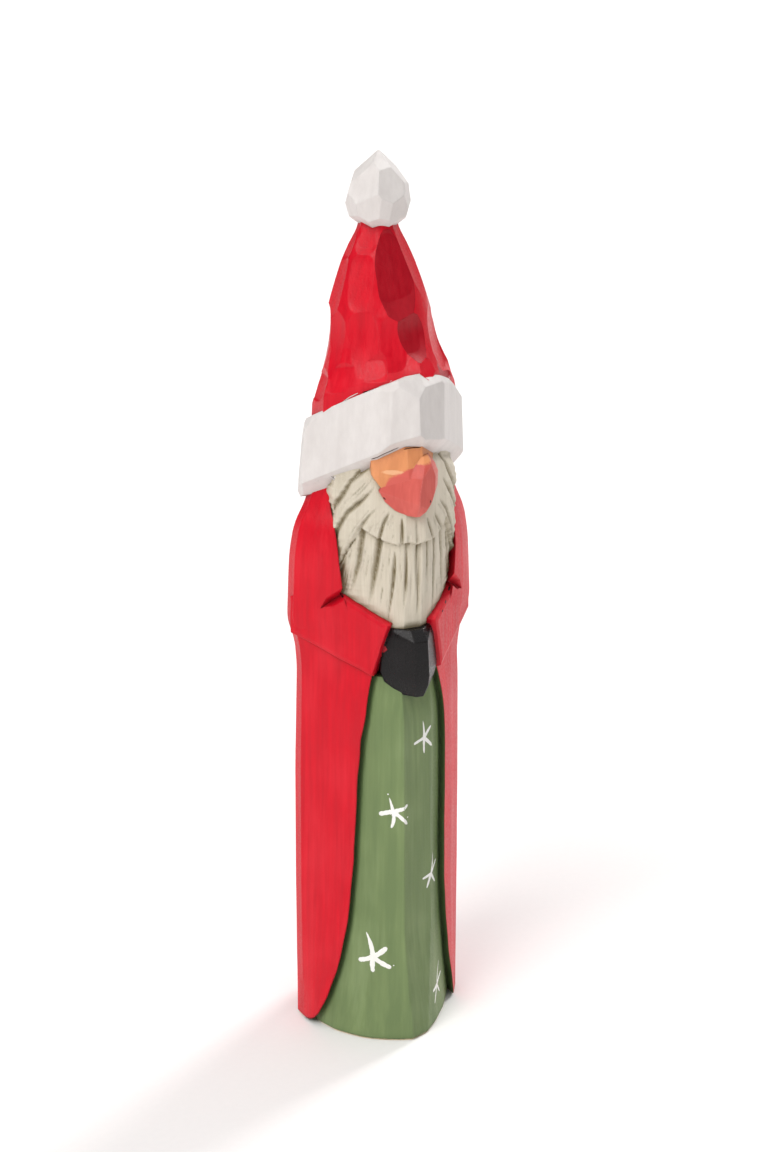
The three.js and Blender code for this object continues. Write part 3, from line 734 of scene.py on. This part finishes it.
def facing(bearing, elevation=0.0):
    """The way out at so many degrees from the front, towards the figure's left, and from the level."""
    a, e = math.radians(bearing), math.radians(elevation)
    return Vector((math.sin(a) * math.cos(e), -math.cos(a) * math.cos(e), math.sin(e)))


def flat_cut(made, point, outward):
    """One flat knife cut off a form without hollows: takes away what lies beyond a plane."""
    everything = made.verts[:] + made.edges[:] + made.faces[:]
    bmesh.ops.bisect_plane(made, geom=everything, plane_co=point, plane_no=outward, clear_outer=True)
    kept = [vert.co.copy() for vert in made.verts]
    made.free()
    return hull_of(kept)


def wedge(middle, tip, levels):
    """A blunt wedge on the stick's front edge, in levels: z, shift, half width, reach and how far forward its
    sides begin. The front facet runs between two shares of the half width."""
    points = []
    for z, shift, side, front, root in levels:
        z, shift, side, front, root = up(z), middle + out(shift), out(side), out(front), out(root)
        points += [(shift + way * side, -root, z) for way in (-1, 1)]
        points += [(shift + share * side, -front, z) for share in tip]
        points += [(shift + 0.8 * way * side, -0.6 * root, z) for way in (-1, 1)]
    return hull_of(points)


left_forearm, right_forearm = forearm(0, 5), mirrored(forearm(0.8, 6))
mittens_shape = wedge(out(3.2), (-0.26, 0.26), [
    (48.8, 0, 25, 84, 66), (47.7, 0, 28, 94, 66), (43.8, 0, 30.5, 96.5, 66), (42.6, 0, 27, 95.5, 67),
    (41.3, 0, 14, 92, 78),
])
mittens = finished(mittens_shape, black)

# Face and nose
# Only a patch of cheeks and a nose show between the fur trim and the moustache: one wedge on the stick's
# front edge, in flesh, and a blunt nose in coral, cut once more across its tip. Both are left as flat knife
# cuts.
nose_middle = out(-0.5)
coral_on_flesh = [("#d9645a", (-2.2, -15.2, 103.6), (3.4, 3.2, 3.15), 0.2),
                  ("#d9645a", (-0.6, -15.6, 105.9), (2.2, 1.9, 1.75), 0.2)]
pale_stroke = ("#efb488", (-3.6, -14.3, 106.9), (2.2, 1.8, 0.4), 0.4)
flesh = acrylic("flesh", "#e99b67", "#a9603a", "#f2b184", stroke=(0.8, 5.0), streaks=0.25,
                marks=[pale_stroke, *coral_on_flesh])
flesh_on_coral = ("#e99b67", (1.0, -15.9, 110.6), (3.6, 2.6, 2.4), 0.2)
coral = acrylic("coral", "#d9645a", "#a93a38", "#ec8f88", stroke=(0.8, 5.0), streaks=0.3, gloss=0.4,
                marks=[flesh_on_coral])
face_shape = wedge(nose_middle, (-0.15, 0.35), [
    (69.5, -2, 32, 82, 55), (66.3, -2, 34.5, 89, 68), (63.4, 0, 19, 88, 76),
])
face = finished(face_shape, flesh)
nose_shape = wedge(nose_middle, (-0.02, 0.46), [
    (68.4, 10, 9, 86, 76), (67.4, 7, 18, 93, 78), (66.3, 4, 26, 97, 75), (64.6, 0.5, 31, 98.5, 71),
    (63.4, 0, 25, 99, 73), (62.5, 0, 17, 95, 79), (61.9, 0, 7, 91, 83),
])
nose_tip = Vector((-0.1, -17.75, 103.4))
nose_shape = flat_cut(nose_shape, nose_tip, facing(20, 2))
nose = finished(nose_shape, coral)

# Fur trim
# A broad band round the head, high over the nose and low at the nape, in off-white craft acrylic dabbed on.
# Its face is flat knife cuts of several sizes, its upper and lower edges are bevelled.
trim_bevel = 1.1
trim_lean = 0.56
rim_slant = math.radians(40)
white = acrylic("white", "#e3dedb", "#a39894", "#efebe9", stroke=(1.2, 2.6), streaks=0.16, gloss=0.5,
                wear=0.3)
trim_profile = [  # level, how many bevels inward, lean
    (63.3, 3, fur_rim_rise), (63.5, 0.8, fur_rim_rise), (64.8, 0, 0.6), (69.4, 0.05, 0.57),
    (70.6, 0.6, trim_lean), (72.2, 1.9, trim_lean), (73.2, 7, trim_lean),
]


def trim_rings():
    stations = np.array(trim_profile)
    levels = np.unique(np.round(np.concatenate([stations[:, 0], np.arange(63.5, 72.2, 0.5)]), 3))
    for z in levels:
        inset_here = np.interp(z, stations[:, 0], stations[:, 1]) * trim_bevel
        lean = np.interp(z, stations[:, 0], stations[:, 2])
        level = dict(z=up(z), x=out(3.5), y=0, side=out(88) - inset_here, front=out(95.5) - inset_here,
                     back=out(85) - inset_here, crown=0.05, swell=0, lean=lean, tip=fur_rim_tilt)
        yield ring(level, counts=(24,) * 4, blunt=0.1)[0]


def knife_flat(way, point):
    """What one flat knife cut takes away: all beyond a plane through a point."""
    turn = way.to_track_quat("Z", "Y").to_matrix().to_4x4()
    made = bmesh.new()
    block = 60  # larger than all that it is to cut
    place = Matrix.Translation(point) @ turn @ Matrix.Translation((0, 0, block / 2))
    bmesh.ops.create_cube(made, size=block, matrix=place)
    return finished(made, white)


def rim_flat(bearing, elevation, point, width):
    """The bevel under one of the trim's flats, along its slanting lower edge."""
    x, y, z = point
    spot = Vector((x, y, fur_rim(x, y) + width))
    spot += facing(bearing) * (z - spot.z) * math.tan(math.radians(elevation))
    run = facing(bearing + 90)
    run.z = fur_rim(run.x, run.y) - fur_rim(0, 0)
    down = facing(bearing).cross(run).normalized()
    down *= -1 if down.z > 0 else 1
    return knife_flat(facing(bearing) * math.cos(rim_slant) + down * math.sin(rim_slant), spot)


# The flats round the trim: bearing from the front, elevation, a point of the plane and the width of the bevel
# under it.
trim_flats = [
    (-25, 4, (-1.8, -15.35, 116), 2.3), (32, 4, (3.6, -14.5, 116), 1.6), (51, 2, (9.3, -9.65, 114), 1.9),
    (-53, 5, (-9.9, -7.75, 107), 1.9), (-112, 6, (-13.6, 3.6, 104), 1.4), (74, 2, (15.5, -2.6, 110), 1.5),
    (104, 2, (15.3, 2.6, 108), 1.5), (127, -3, (9.6, 8.6, 108), 1.3), (150, -2, (4.6, 12.4, 108), 1.5),
    (-174, -3, (0, 14.3, 106), 1.3), (-146, -2, (-5.6, 10.9, 105), 1.5),
]
upper_flats = [(32, 40, (3.5, -14.2, 121.4)), (51, 40, (9.4, -9.8, 121.8)), (-2, 36, (-1.5, -14.8, 121.6))]
trim = loft(trim_rings(), white)
for turn, rise, point, width in trim_flats:
    joined(trim, [knife_flat(facing(turn, rise), point), rim_flat(turn, rise, point, width)], "DIFFERENCE")
joined(trim, [knife_flat(facing(turn, rise), point) for turn, rise, point in upper_flats], "DIFFERENCE")

# Hat
# A cone on a rounded square plan, a little bent, all in broad knife cuts whose rims meet in crisp ridges. It
# is painted in the same red craft acrylic as the coat.
hat_levels = [sized(*level) for level in (
    (69, 5, -6, 73, 72, 62, 0.02, 0, trim_lean),
    (73, 5, -5, 71, 68, 60, 0.03, 0, trim_lean),
    (76, 5, -4, 63, 62, 57, 0.05, 0, 0.35),
    (79, 3.5, -2, 55, 56, 53, 0.07, 0, 0.15),
    (82.4, 1, 0, 51.5, 52, 50, 0.09),
    (85, 0.7, 0, 45, 45, 44, 0.09),
    (88, 0, 0, 36, 37, 36, 0.09),
    (90, 0, 0, 29, 29, 28, 0.09),
    (91.6, 0, 0, 19.5, 20, 19, 0.09),
    (94, 0, 0, 18, 18, 18, 0.09),
)]
hat_blunt = 0.2

# The flats: bearing and level of the middle, the bearing and elevation it faces, its depth there, half its
# width and length, how far it leans, how round it runs along the grain (a radius), and its paint. Three in
# front that turn away from the key light are painted a deeper red as painted shade.
flat = 400
flat_across = 40
flare = 2.2  # beyond its oval each cut's block widens to so many times its size
flare_slope = 0.35
# A deeper red, painted shade for the three front flats of the hat that turn from the light.
shaded_red = acrylic("shaded_red", "#b00a1e", "#800d1a", "#bd2d38", stroke=(0.8, 18.0), gloss=0.38, wear=0.15)
hat_flats = [
    (-50, 145.8, -50, 22, 0.22, 1.8, 2.0), (-102, 144.8, -102, 23, 0.35, 2.4, 3.0),
    (-5, 141, 3, 17.5, 1.12, 3.8, 5.7, 13, flat, shaded_red), (50, 141, 52, 23, 0.6, 3.4, 6.8, 4),
    (-48, 138.1, -50, 18, 0.33, 2.4, 4.6, 3), (-95, 137, -94, 16, 0.42, 3.2, 5.0),
    (-25, 137.2, -25, 17, 0.12, 1.7, 4.0, 8), (7, 130.4, 15, 9, 0.85, 2.9, 3.9, 0, 8, shaded_red),
    (-15, 129.4, -12, 10, 0.42, 3.2, 6.0, 4, 22), (-42, 128, -44, 12, 0.36, 2.9, 5.6, 8, 22),
    (-75, 127.6, -76, 10, 0.45, 3.7, 6.0, 0, 22), (57, 128.5, 58, 12, 0.65, 3.9, 6.5, 0, 22),
    (-33, 123.9, -34, 24, 0.3, 2.9, 1.7, 14), (-60, 121.9, -60, 20, 0.25, 3.5, 2.2, 12),
    (17, 124.3, 30, 24, 0.5, 2.3, 1.8, -20), (48, 122.4, 54, 20, 0.35, 3.2, 1.9, 0, flat, shaded_red),
    (100, 144, 102, 22, 0.35, 2.8, 4.0), (150, 144.5, 148, 22, 0.35, 2.6, 3.4, -8),
    (-155, 143.6, -153, 21, 0.35, 2.6, 4.0, 6), (90, 135.5, 93, 16, 0.5, 3.2, 4.8),
    (132, 137, 130, 16, 0.55, 3.4, 5.4, -6), (172, 136.4, 174, 16, 0.5, 3.3, 5.6),
    (-138, 136.6, -136, 16, 0.5, 3.4, 5.0, 6), (100, 126.5, 99, 11, 0.5, 3.6, 6.0, 0, 24),
    (138, 127, 139, 11, 0.5, 3.8, 6.4, 5, 24), (177, 126.4, 176, 11, 0.5, 3.6, 5.6, 0, 24),
    (-146, 126.6, -145, 10, 0.5, 3.7, 6.0, -4, 24), (-111, 126.6, -112, 10, 0.5, 3.7, 6.2, 0, 24),
    (84, 119.6, 86, 20, 0.4, 3.8, 2.2), (120, 117.6, 120, 20, 0.4, 3.8, 2.4),
    (156, 116.8, 156, 20, 0.4, 3.6, 2.4), (-168, 116.8, -168, 20, 0.4, 3.6, 2.4),
    (-132, 117.8, -134, 21, 0.4, 3.8, 2.4), (-96, 119.6, -96, 21, 0.4, 3.6, 2.2),
]


def knife_dish(point, way, depth, half_width, half_length, lean=0, curve=flat, slot=red):
    """What one push of a knife takes away: an oval block, all but flat below, sunk by depth at a point."""
    across = Vector((0, 0, 1)).cross(way).normalized()
    turn = Matrix.Rotation(math.radians(lean), 3, way)
    across, along = turn @ across, turn @ way.cross(across)
    rings = []
    for share in (0.4, 0.7, 1, flare):
        outer = flare_slope * half_width * max(0, share - 1)
        low = []
        for angle in np.linspace(0, 2 * math.pi, 33)[:-1]:
            c, d = math.cos(angle), math.sin(angle)
            square = share / (c**4 + d**4) ** 0.25
            u, v = square * half_width * c, square * half_length * d
            rise = u * u / (2 * flat_across) + v * v / (2 * curve) + outer - depth
            low.append(point + across * u + along * v + way * rise)
        rings.append(np.array(low))
    block_height = 6
    rings.append(rings[-1] + np.array(way * block_height))
    return loft(rings, slot)


named_stations = [level["z"] for level in hat_levels]
hat_stations = np.unique(np.round(np.concatenate([named_stations, np.arange(111, 150, 1.2)]), 3))
hat_rings = [ring(eased_level(hat_levels, z), counts=(14,) * 4, blunt=hat_blunt)[0] for z in hat_stations]
hat = loft(hat_rings, red)
uncut = BVHTree.FromObject(hat, bpy.context.evaluated_depsgraph_get())
outside = 40  # further out than any part of the figure
for bearing, level, turn, rise, *sizes in hat_flats:
    spot = uncut.ray_cast(facing(bearing) * outside + Vector((0, 0, level)), -facing(bearing))[0]
    joined(hat, [knife_dish(spot, facing(turn, rise), *sizes)], "DIFFERENCE")

# Pompom
# An egg on the hat's neck, cut flat all round with a knife, so that the uppermost flats meet in its tip. It
# is dabbed with the fur trim's white acrylic.
pompom_middle = Vector((0, 0, up(94.7)))
pompom_flats = [  # from the tip down: the bearing and elevation each faces, and how far from the middle
    (-3, 57, 7.15), (-98, 44, 5.9), (62, 40, 5.75), (140, 46, 6.1), (-150, 46, 6.1), (-60, 22, 5.45),
    (8, 20, 5.75), (54, 5, 5.3), (98, 14, 5.2), (145, 14, 5.3), (-168, 14, 5.3), (-118, 16, 5.2),
    (-90, -14, 5.2), (-42, -12, 5.45), (-8, -16, 5.7), (25, -18, 5.25), (62, -16, 5.5), (105, -12, 5.3),
    (150, -15, 5.3), (-172, -15, 5.3), (-132, -15, 5.2),
    (-20, -50, 5.3), (40, -50, 5.2), (100, -50, 5.1), (160, -50, 5.1), (-140, -50, 5.0), (-80, -50, 4.95),
]
side = out(90) / 2
block = [(x, y, z) for x in (-side, side) for y in (-side, side) for z in (up(91.4), up(101.4))]
pompom_shape = hull_of(block)
for bearing, elevation, distance in pompom_flats:
    way = facing(bearing, elevation)
    pompom_shape = flat_cut(pompom_shape, pompom_middle + way * distance, way)
pompom = finished(pompom_shape, white)

# The piece
# All forms were carved from one piece of wood, so they are joined into one closed surface, on which each
# keeps its own paint. The arms' notches go through forearms and coat alike.
joined(coat, [crook_notch(), mirrored(crook_notch())], "DIFFERENCE")
joined(left_forearm, [crook_notch()], "DIFFERENCE")
joined(right_forearm, [mirrored(crook_notch())], "DIFFERENCE")
santa = robe
joined(santa, [coat, beard, left_forearm, right_forearm, mittens, face, nose, trim, hat, pompom], "UNION")

# Painted stars
# White five-armed stars on the robe, each arm one loose stroke of thick paint from a small round brush, with
# a drop or two beside them. The white stands thick enough to cover the green.
paint_thickness = 0.06
paint_bite = 0.02  # a stroke's rim lies this deep in the surface, its root four times as deep
stars = [  # middle and the arms' ends as (x, z), and half the widest arm's width
    ((3.1, 56.7), [(2.8, 60.0), (3.1, 53.8), (0.5, 56.3), (4.8, 58.5), (5.1, 54.6)], 0.42),
    ((-3.5, 44.0), [(-4.0, 46.6), (-5.4, 43.2), (-1.2, 45.4), (-1.3, 41.7), (-3.8, 40.9)], 0.48),
    ((4.8, 29.9), [(5.5, 33.6), (6.9, 31.4), (2.6, 29.6), (3.7, 27.4), (6.4, 27.4)], 0.42),
    ((-6.8, 15.5), [(-7.6, 20.1), (-8.8, 14.5), (-4.8, 17.7), (-4.3, 13.9), (-6.9, 12.6)], 0.62),
    ((6.7, 6.7), [(7.8, 10.8), (8.6, 8.0), (4.9, 6.6), (5.4, 3.9), (7.8, 4.6)], 0.38),
]
star_white = acrylic("star_white", "#fbfbf6", "#c9c6bd", "#ffffff", stroke=(0.6, 2.0), streaks=0.1, wear=0.2)
drops = [  # where each begins and stops, and half its width
    ((-4.15, 47.1), (-4.2, 47.35), 0.16), ((-1.25, 42.9), (-1.1, 43.1), 0.15),
    ((-4.0, 14.3), (-3.85, 14.5), 0.12),
]
skin = BVHTree.FromObject(santa, bpy.context.evaluated_depsgraph_get())


def on_front(x, z):
    """The point of the piece that a straight look at its front meets."""
    return skin.ray_cast(Vector((x, -outside, z)), Vector((0, 1, 0)))[0]


def brush_stroke(stations, half_width, slot, hand, pointed=0.0):
    """One stroke of thick paint along points of the piece: domed, uneven, with a round or pointed end.

    The brush sets down over its first eighth and lifts off over its last fifth."""
    rings = []
    last = len(stations) - 1
    for i, spot in enumerate(stations):
        share = i / last
        run = stations[min(i + 1, last)] - stations[max(i - 1, 0)]
        spot, way = skin.find_nearest(spot)[:2]
        across = run.cross(way).normalized()
        end = math.sqrt(max(0, 1 - max(0, (share - 0.82) / 0.2) ** 2)) * (1 - pointed * share**1.5)
        begin = math.sqrt(max(0.1, 1 - max(0, (0.12 - share) / 0.13) ** 2))
        half = half_width * max(0.12, end * begin) * hand.uniform(0.86, 1.14)
        points = []
        for u in (-1, -0.72, -0.25, 0.25, 0.72, 1):
            near, near_way = skin.find_nearest(spot + across * half * u)[:2]
            dome = paint_thickness * (1 - u**4) * min(1, 3 * half / half_width)
            points.append(near + near_way * (dome - paint_bite))
        points.append(spot - way * (4 * paint_bite))
        rings.append(np.array(points))
    return faced_outward(loft(rings, slot))


hand = random.Random(71)
strokes = []
for middle, tips, half_width in stars:
    for arm, tip in enumerate(tips):
        reach = np.array(tip) - middle
        bend = np.array([-reach[1], reach[0]]) * hand.uniform(-0.07, 0.07)
        shares = np.linspace(-0.1, 1, 15)
        line = [np.array(middle) + reach * t + bend * 4 * t * (1 - t) for t in shares]
        wide = half_width * hand.uniform(0.85, 1.05)
        stations = [on_front(*spot) for spot in line]
        pointed = 0.8 if arm == 0 else hand.uniform(0.05, 0.4)
        strokes.append(brush_stroke(stations, wide, star_white, hand, pointed))
for begin, stop, half_width in drops:
    stations = [on_front(*(np.array(begin) + (np.array(stop) - begin) * t)) for t in np.linspace(0, 1, 6)]
    strokes.append(brush_stroke(stations, half_width, star_white, hand))
joined(santa, strokes, "UNION")

# Slips of the brush
# Where two paints meet the brush went over the joint: pale slips along the hat above the trim and under the
# trim's lower edge, a dark line over the face, black dabs below the beard and dark specks beside and below
# the nose.
slips = [  # paint, half the width, points
    (white, 0.09, [(-9.5, -6.4, 118.2), (-8.6, -7.3, 119.2), (-7.5, -8.3, 120.0)]),
    (white, 0.11, [(-6.9, -9.0, 120.2), (-6.2, -9.6, 120.5), (-4.9, -10.0, 120.9)]),
    (white, 0.08, [(-4.4, -10.7, 121.1), (-4.0, -11.4, 121.4), (-2.6, -11.1, 121.8)]),
    (white, 0.2, [(-14.0, -2.6, 102.8), (-13.6, -3.2, 103.1), (-13.2, -3.8, 103.3)]),
    (white, 0.16, [(-12.8, -4.4, 103.5), (-12.2, -5.1, 103.9), (-11.3, -6.4, 104.8)]),
    (black, 0.11, [(-6.6, -11.6, 108.7), (-4.7, -13.2, 109.85), (-2.7, -14.7, 110.85)]),
    (black, 0.1, [(-2.0, -14.8, 111.0), (0.0, -14.9, 111.1), (1.3, -14.9, 111.0)]),
    (black, 0.18, [(-10.4, -7.2, 84.0), (-10.2, -7.2, 83.1)]),
    (black, 0.2, [(10.8, -7.2, 82.6), (10.2, -8.0, 81.9)]),
    (black, 0.18, [(8.8, -9.8, 80.8), (8.4, -10.2, 80.4)]),
    (black, 0.16, [(7.5, -11.3, 79.6), (7.1, -11.6, 79.4)]),
    (black, 0.14, [(-5.3, -13.4, 102.2), (-5.0, -13.6, 101.8)]),
    (black, 0.13, [(2.5, -17.8, 102.0), (2.5, -17.8, 101.6)]),
    (black, 0.12, [(1.8, -17.1, 100.0), (1.9, -17.1, 99.7)]),
]
skin = BVHTree.FromObject(santa, bpy.context.evaluated_depsgraph_get())
strokes = []
for paint, half_width, points in slips:
    walked = np.linspace(0, len(points) - 1, 5 * len(points))
    stations = [Vector([np.interp(at, range(len(points)), axis) for axis in zip(*points)]) for at in walked]
    stations = [skin.find_nearest(spot)[0] for spot in stations]
    strokes.append(brush_stroke(stations, half_width, paint, hand))
joined(santa, strokes, "UNION")

# Join to metres
# The carved and painted figure is one piece of wood. It is brought to metres and takes its paints off the
# rack. Its knife cuts keep their crisp ridges, and only the finest steps are smoothed, as paint smooths them.
santa.name = "carved_figure"
santa.data.transform(Matrix.Scale(0.001, 4))
for place_on_rack, paint in enumerate(rack):
    santa.data.materials[place_on_rack] = paint
santa.data.polygons.foreach_set("use_smooth", [True] * len(santa.data.polygons))
crisp_ridge = math.radians(13)
santa.data.set_sharp_from_angle(angle=crisp_ridge)
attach(santa, "root")
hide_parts("carved_santa")

# Floor, light and camera
# White paper in a bright studio: a broad soft light from the figure's right, a smaller one from behind its
# left and the pale room overhead. None of it is part of the figure.
half_floor = 6  # metres


def stood(name, data):
    """An object of its own in the scene."""
    made = bpy.data.objects.new(name, data)
    bpy.context.scene.collection.objects.link(made)
    return made


floor_mesh = bpy.data.meshes.new("floor")
floor_corners = [(half_floor * x, half_floor * y, 0) for x, y in ((-1, -1), (1, -1), (1, 1), (-1, 1))]
floor_mesh.from_pydata(floor_corners, [], [(0, 1, 2, 3)])
floor = stood("floor", floor_mesh)
paper = bpy.data.materials.new("white_paper")
floor_tree = emptied(paper)
floor_place = add(floor_tree, "TexCoord", take="Object")
fibres = add(floor_tree, "TexNoise", {"Vector": floor_place, "Scale": 900.0, "Detail": 3.0})
whites = {0: fibres, 6: from_hex("#f4f2f1"), 7: from_hex("#f8f6f5")}
floor_shade = add(floor_tree, "Mix", whites, 2, data_type="RGBA")
floor_skin = add(floor_tree, "BsdfPrincipled", {"Base Color": floor_shade, "Roughness": 0.9})
add(floor_tree, "OutputMaterial", {"Surface": floor_skin})
floor_mesh.materials.append(paper)

bpy.context.scene.view_settings.view_transform = "Standard"
# The sky of a white studio: brightest straight above, so that the floor is white and upright faces keep their
# shade.
sky_narrowness = 4.0
sky_strength = 1.8
sky_at_horizon = 0.04
world = bpy.data.worlds.new("studio")
bpy.context.scene.world = world
sky_tree = emptied(world)
sky_way = add(sky_tree, "TexCoord", take="Generated")
sky_z = add(sky_tree, "SeparateXYZ", {0: sky_way}, 2)
sky_z = add(sky_tree, "Math", {0: sky_z, 1: 0.0}, operation="MAXIMUM")
overhead = add(sky_tree, "Math", {0: sky_z, 1: sky_narrowness}, operation="POWER")
lighter = {0: overhead, 1: sky_strength, 2: sky_at_horizon}
brightness = add(sky_tree, "Math", lighter, operation="MULTIPLY_ADD")
sky = add(sky_tree, "Background", {"Color": (1, 1, 1, 1), "Strength": brightness})
add(sky_tree, "OutputWorld", {"Surface": sky})


def far_softbox(name, azimuth, elevation, spread, strength, tint):
    """A soft light from far off, so many degrees wide, that is as strong on the floor as on the figure."""
    lamp = bpy.data.lights.new(name, "SUN")
    lamp.angle, lamp.energy, lamp.color = math.radians(spread), strength, tint
    stood(name, lamp).rotation_euler = facing(azimuth, elevation).to_track_quat("Z", "Y").to_euler()


far_softbox("key_light", -60, 42, 34, 1.72, (1, 0.985, 0.975))
far_softbox("back_light", 121, 31, 14, 1.75, (1, 0.99, 0.985))

# The camera stands a little to the figure's right and looks down on it.
camera_azimuth = -24.5
camera_distance = 0.46158
camera_height = 0.23176
look_down = 17.79
look_aside = 0.1335
picture_height = 1152  # pixels, as the next
focal_length = 2705
film_height = 36
camera_data = bpy.data.cameras.new("camera")
camera_data.sensor_fit = "VERTICAL"
camera_data.sensor_height = film_height
camera_data.lens = film_height * focal_length / picture_height
camera = stood("camera", camera_data)
bearing = math.radians(camera_azimuth)
camera.location = (math.sin(bearing) * camera_distance, -math.cos(bearing) * camera_distance, camera_height)
camera.rotation_euler = Euler((math.radians(90 - look_down), 0, math.radians(camera_azimuth - look_aside)))
bpy.context.scene.camera = camera
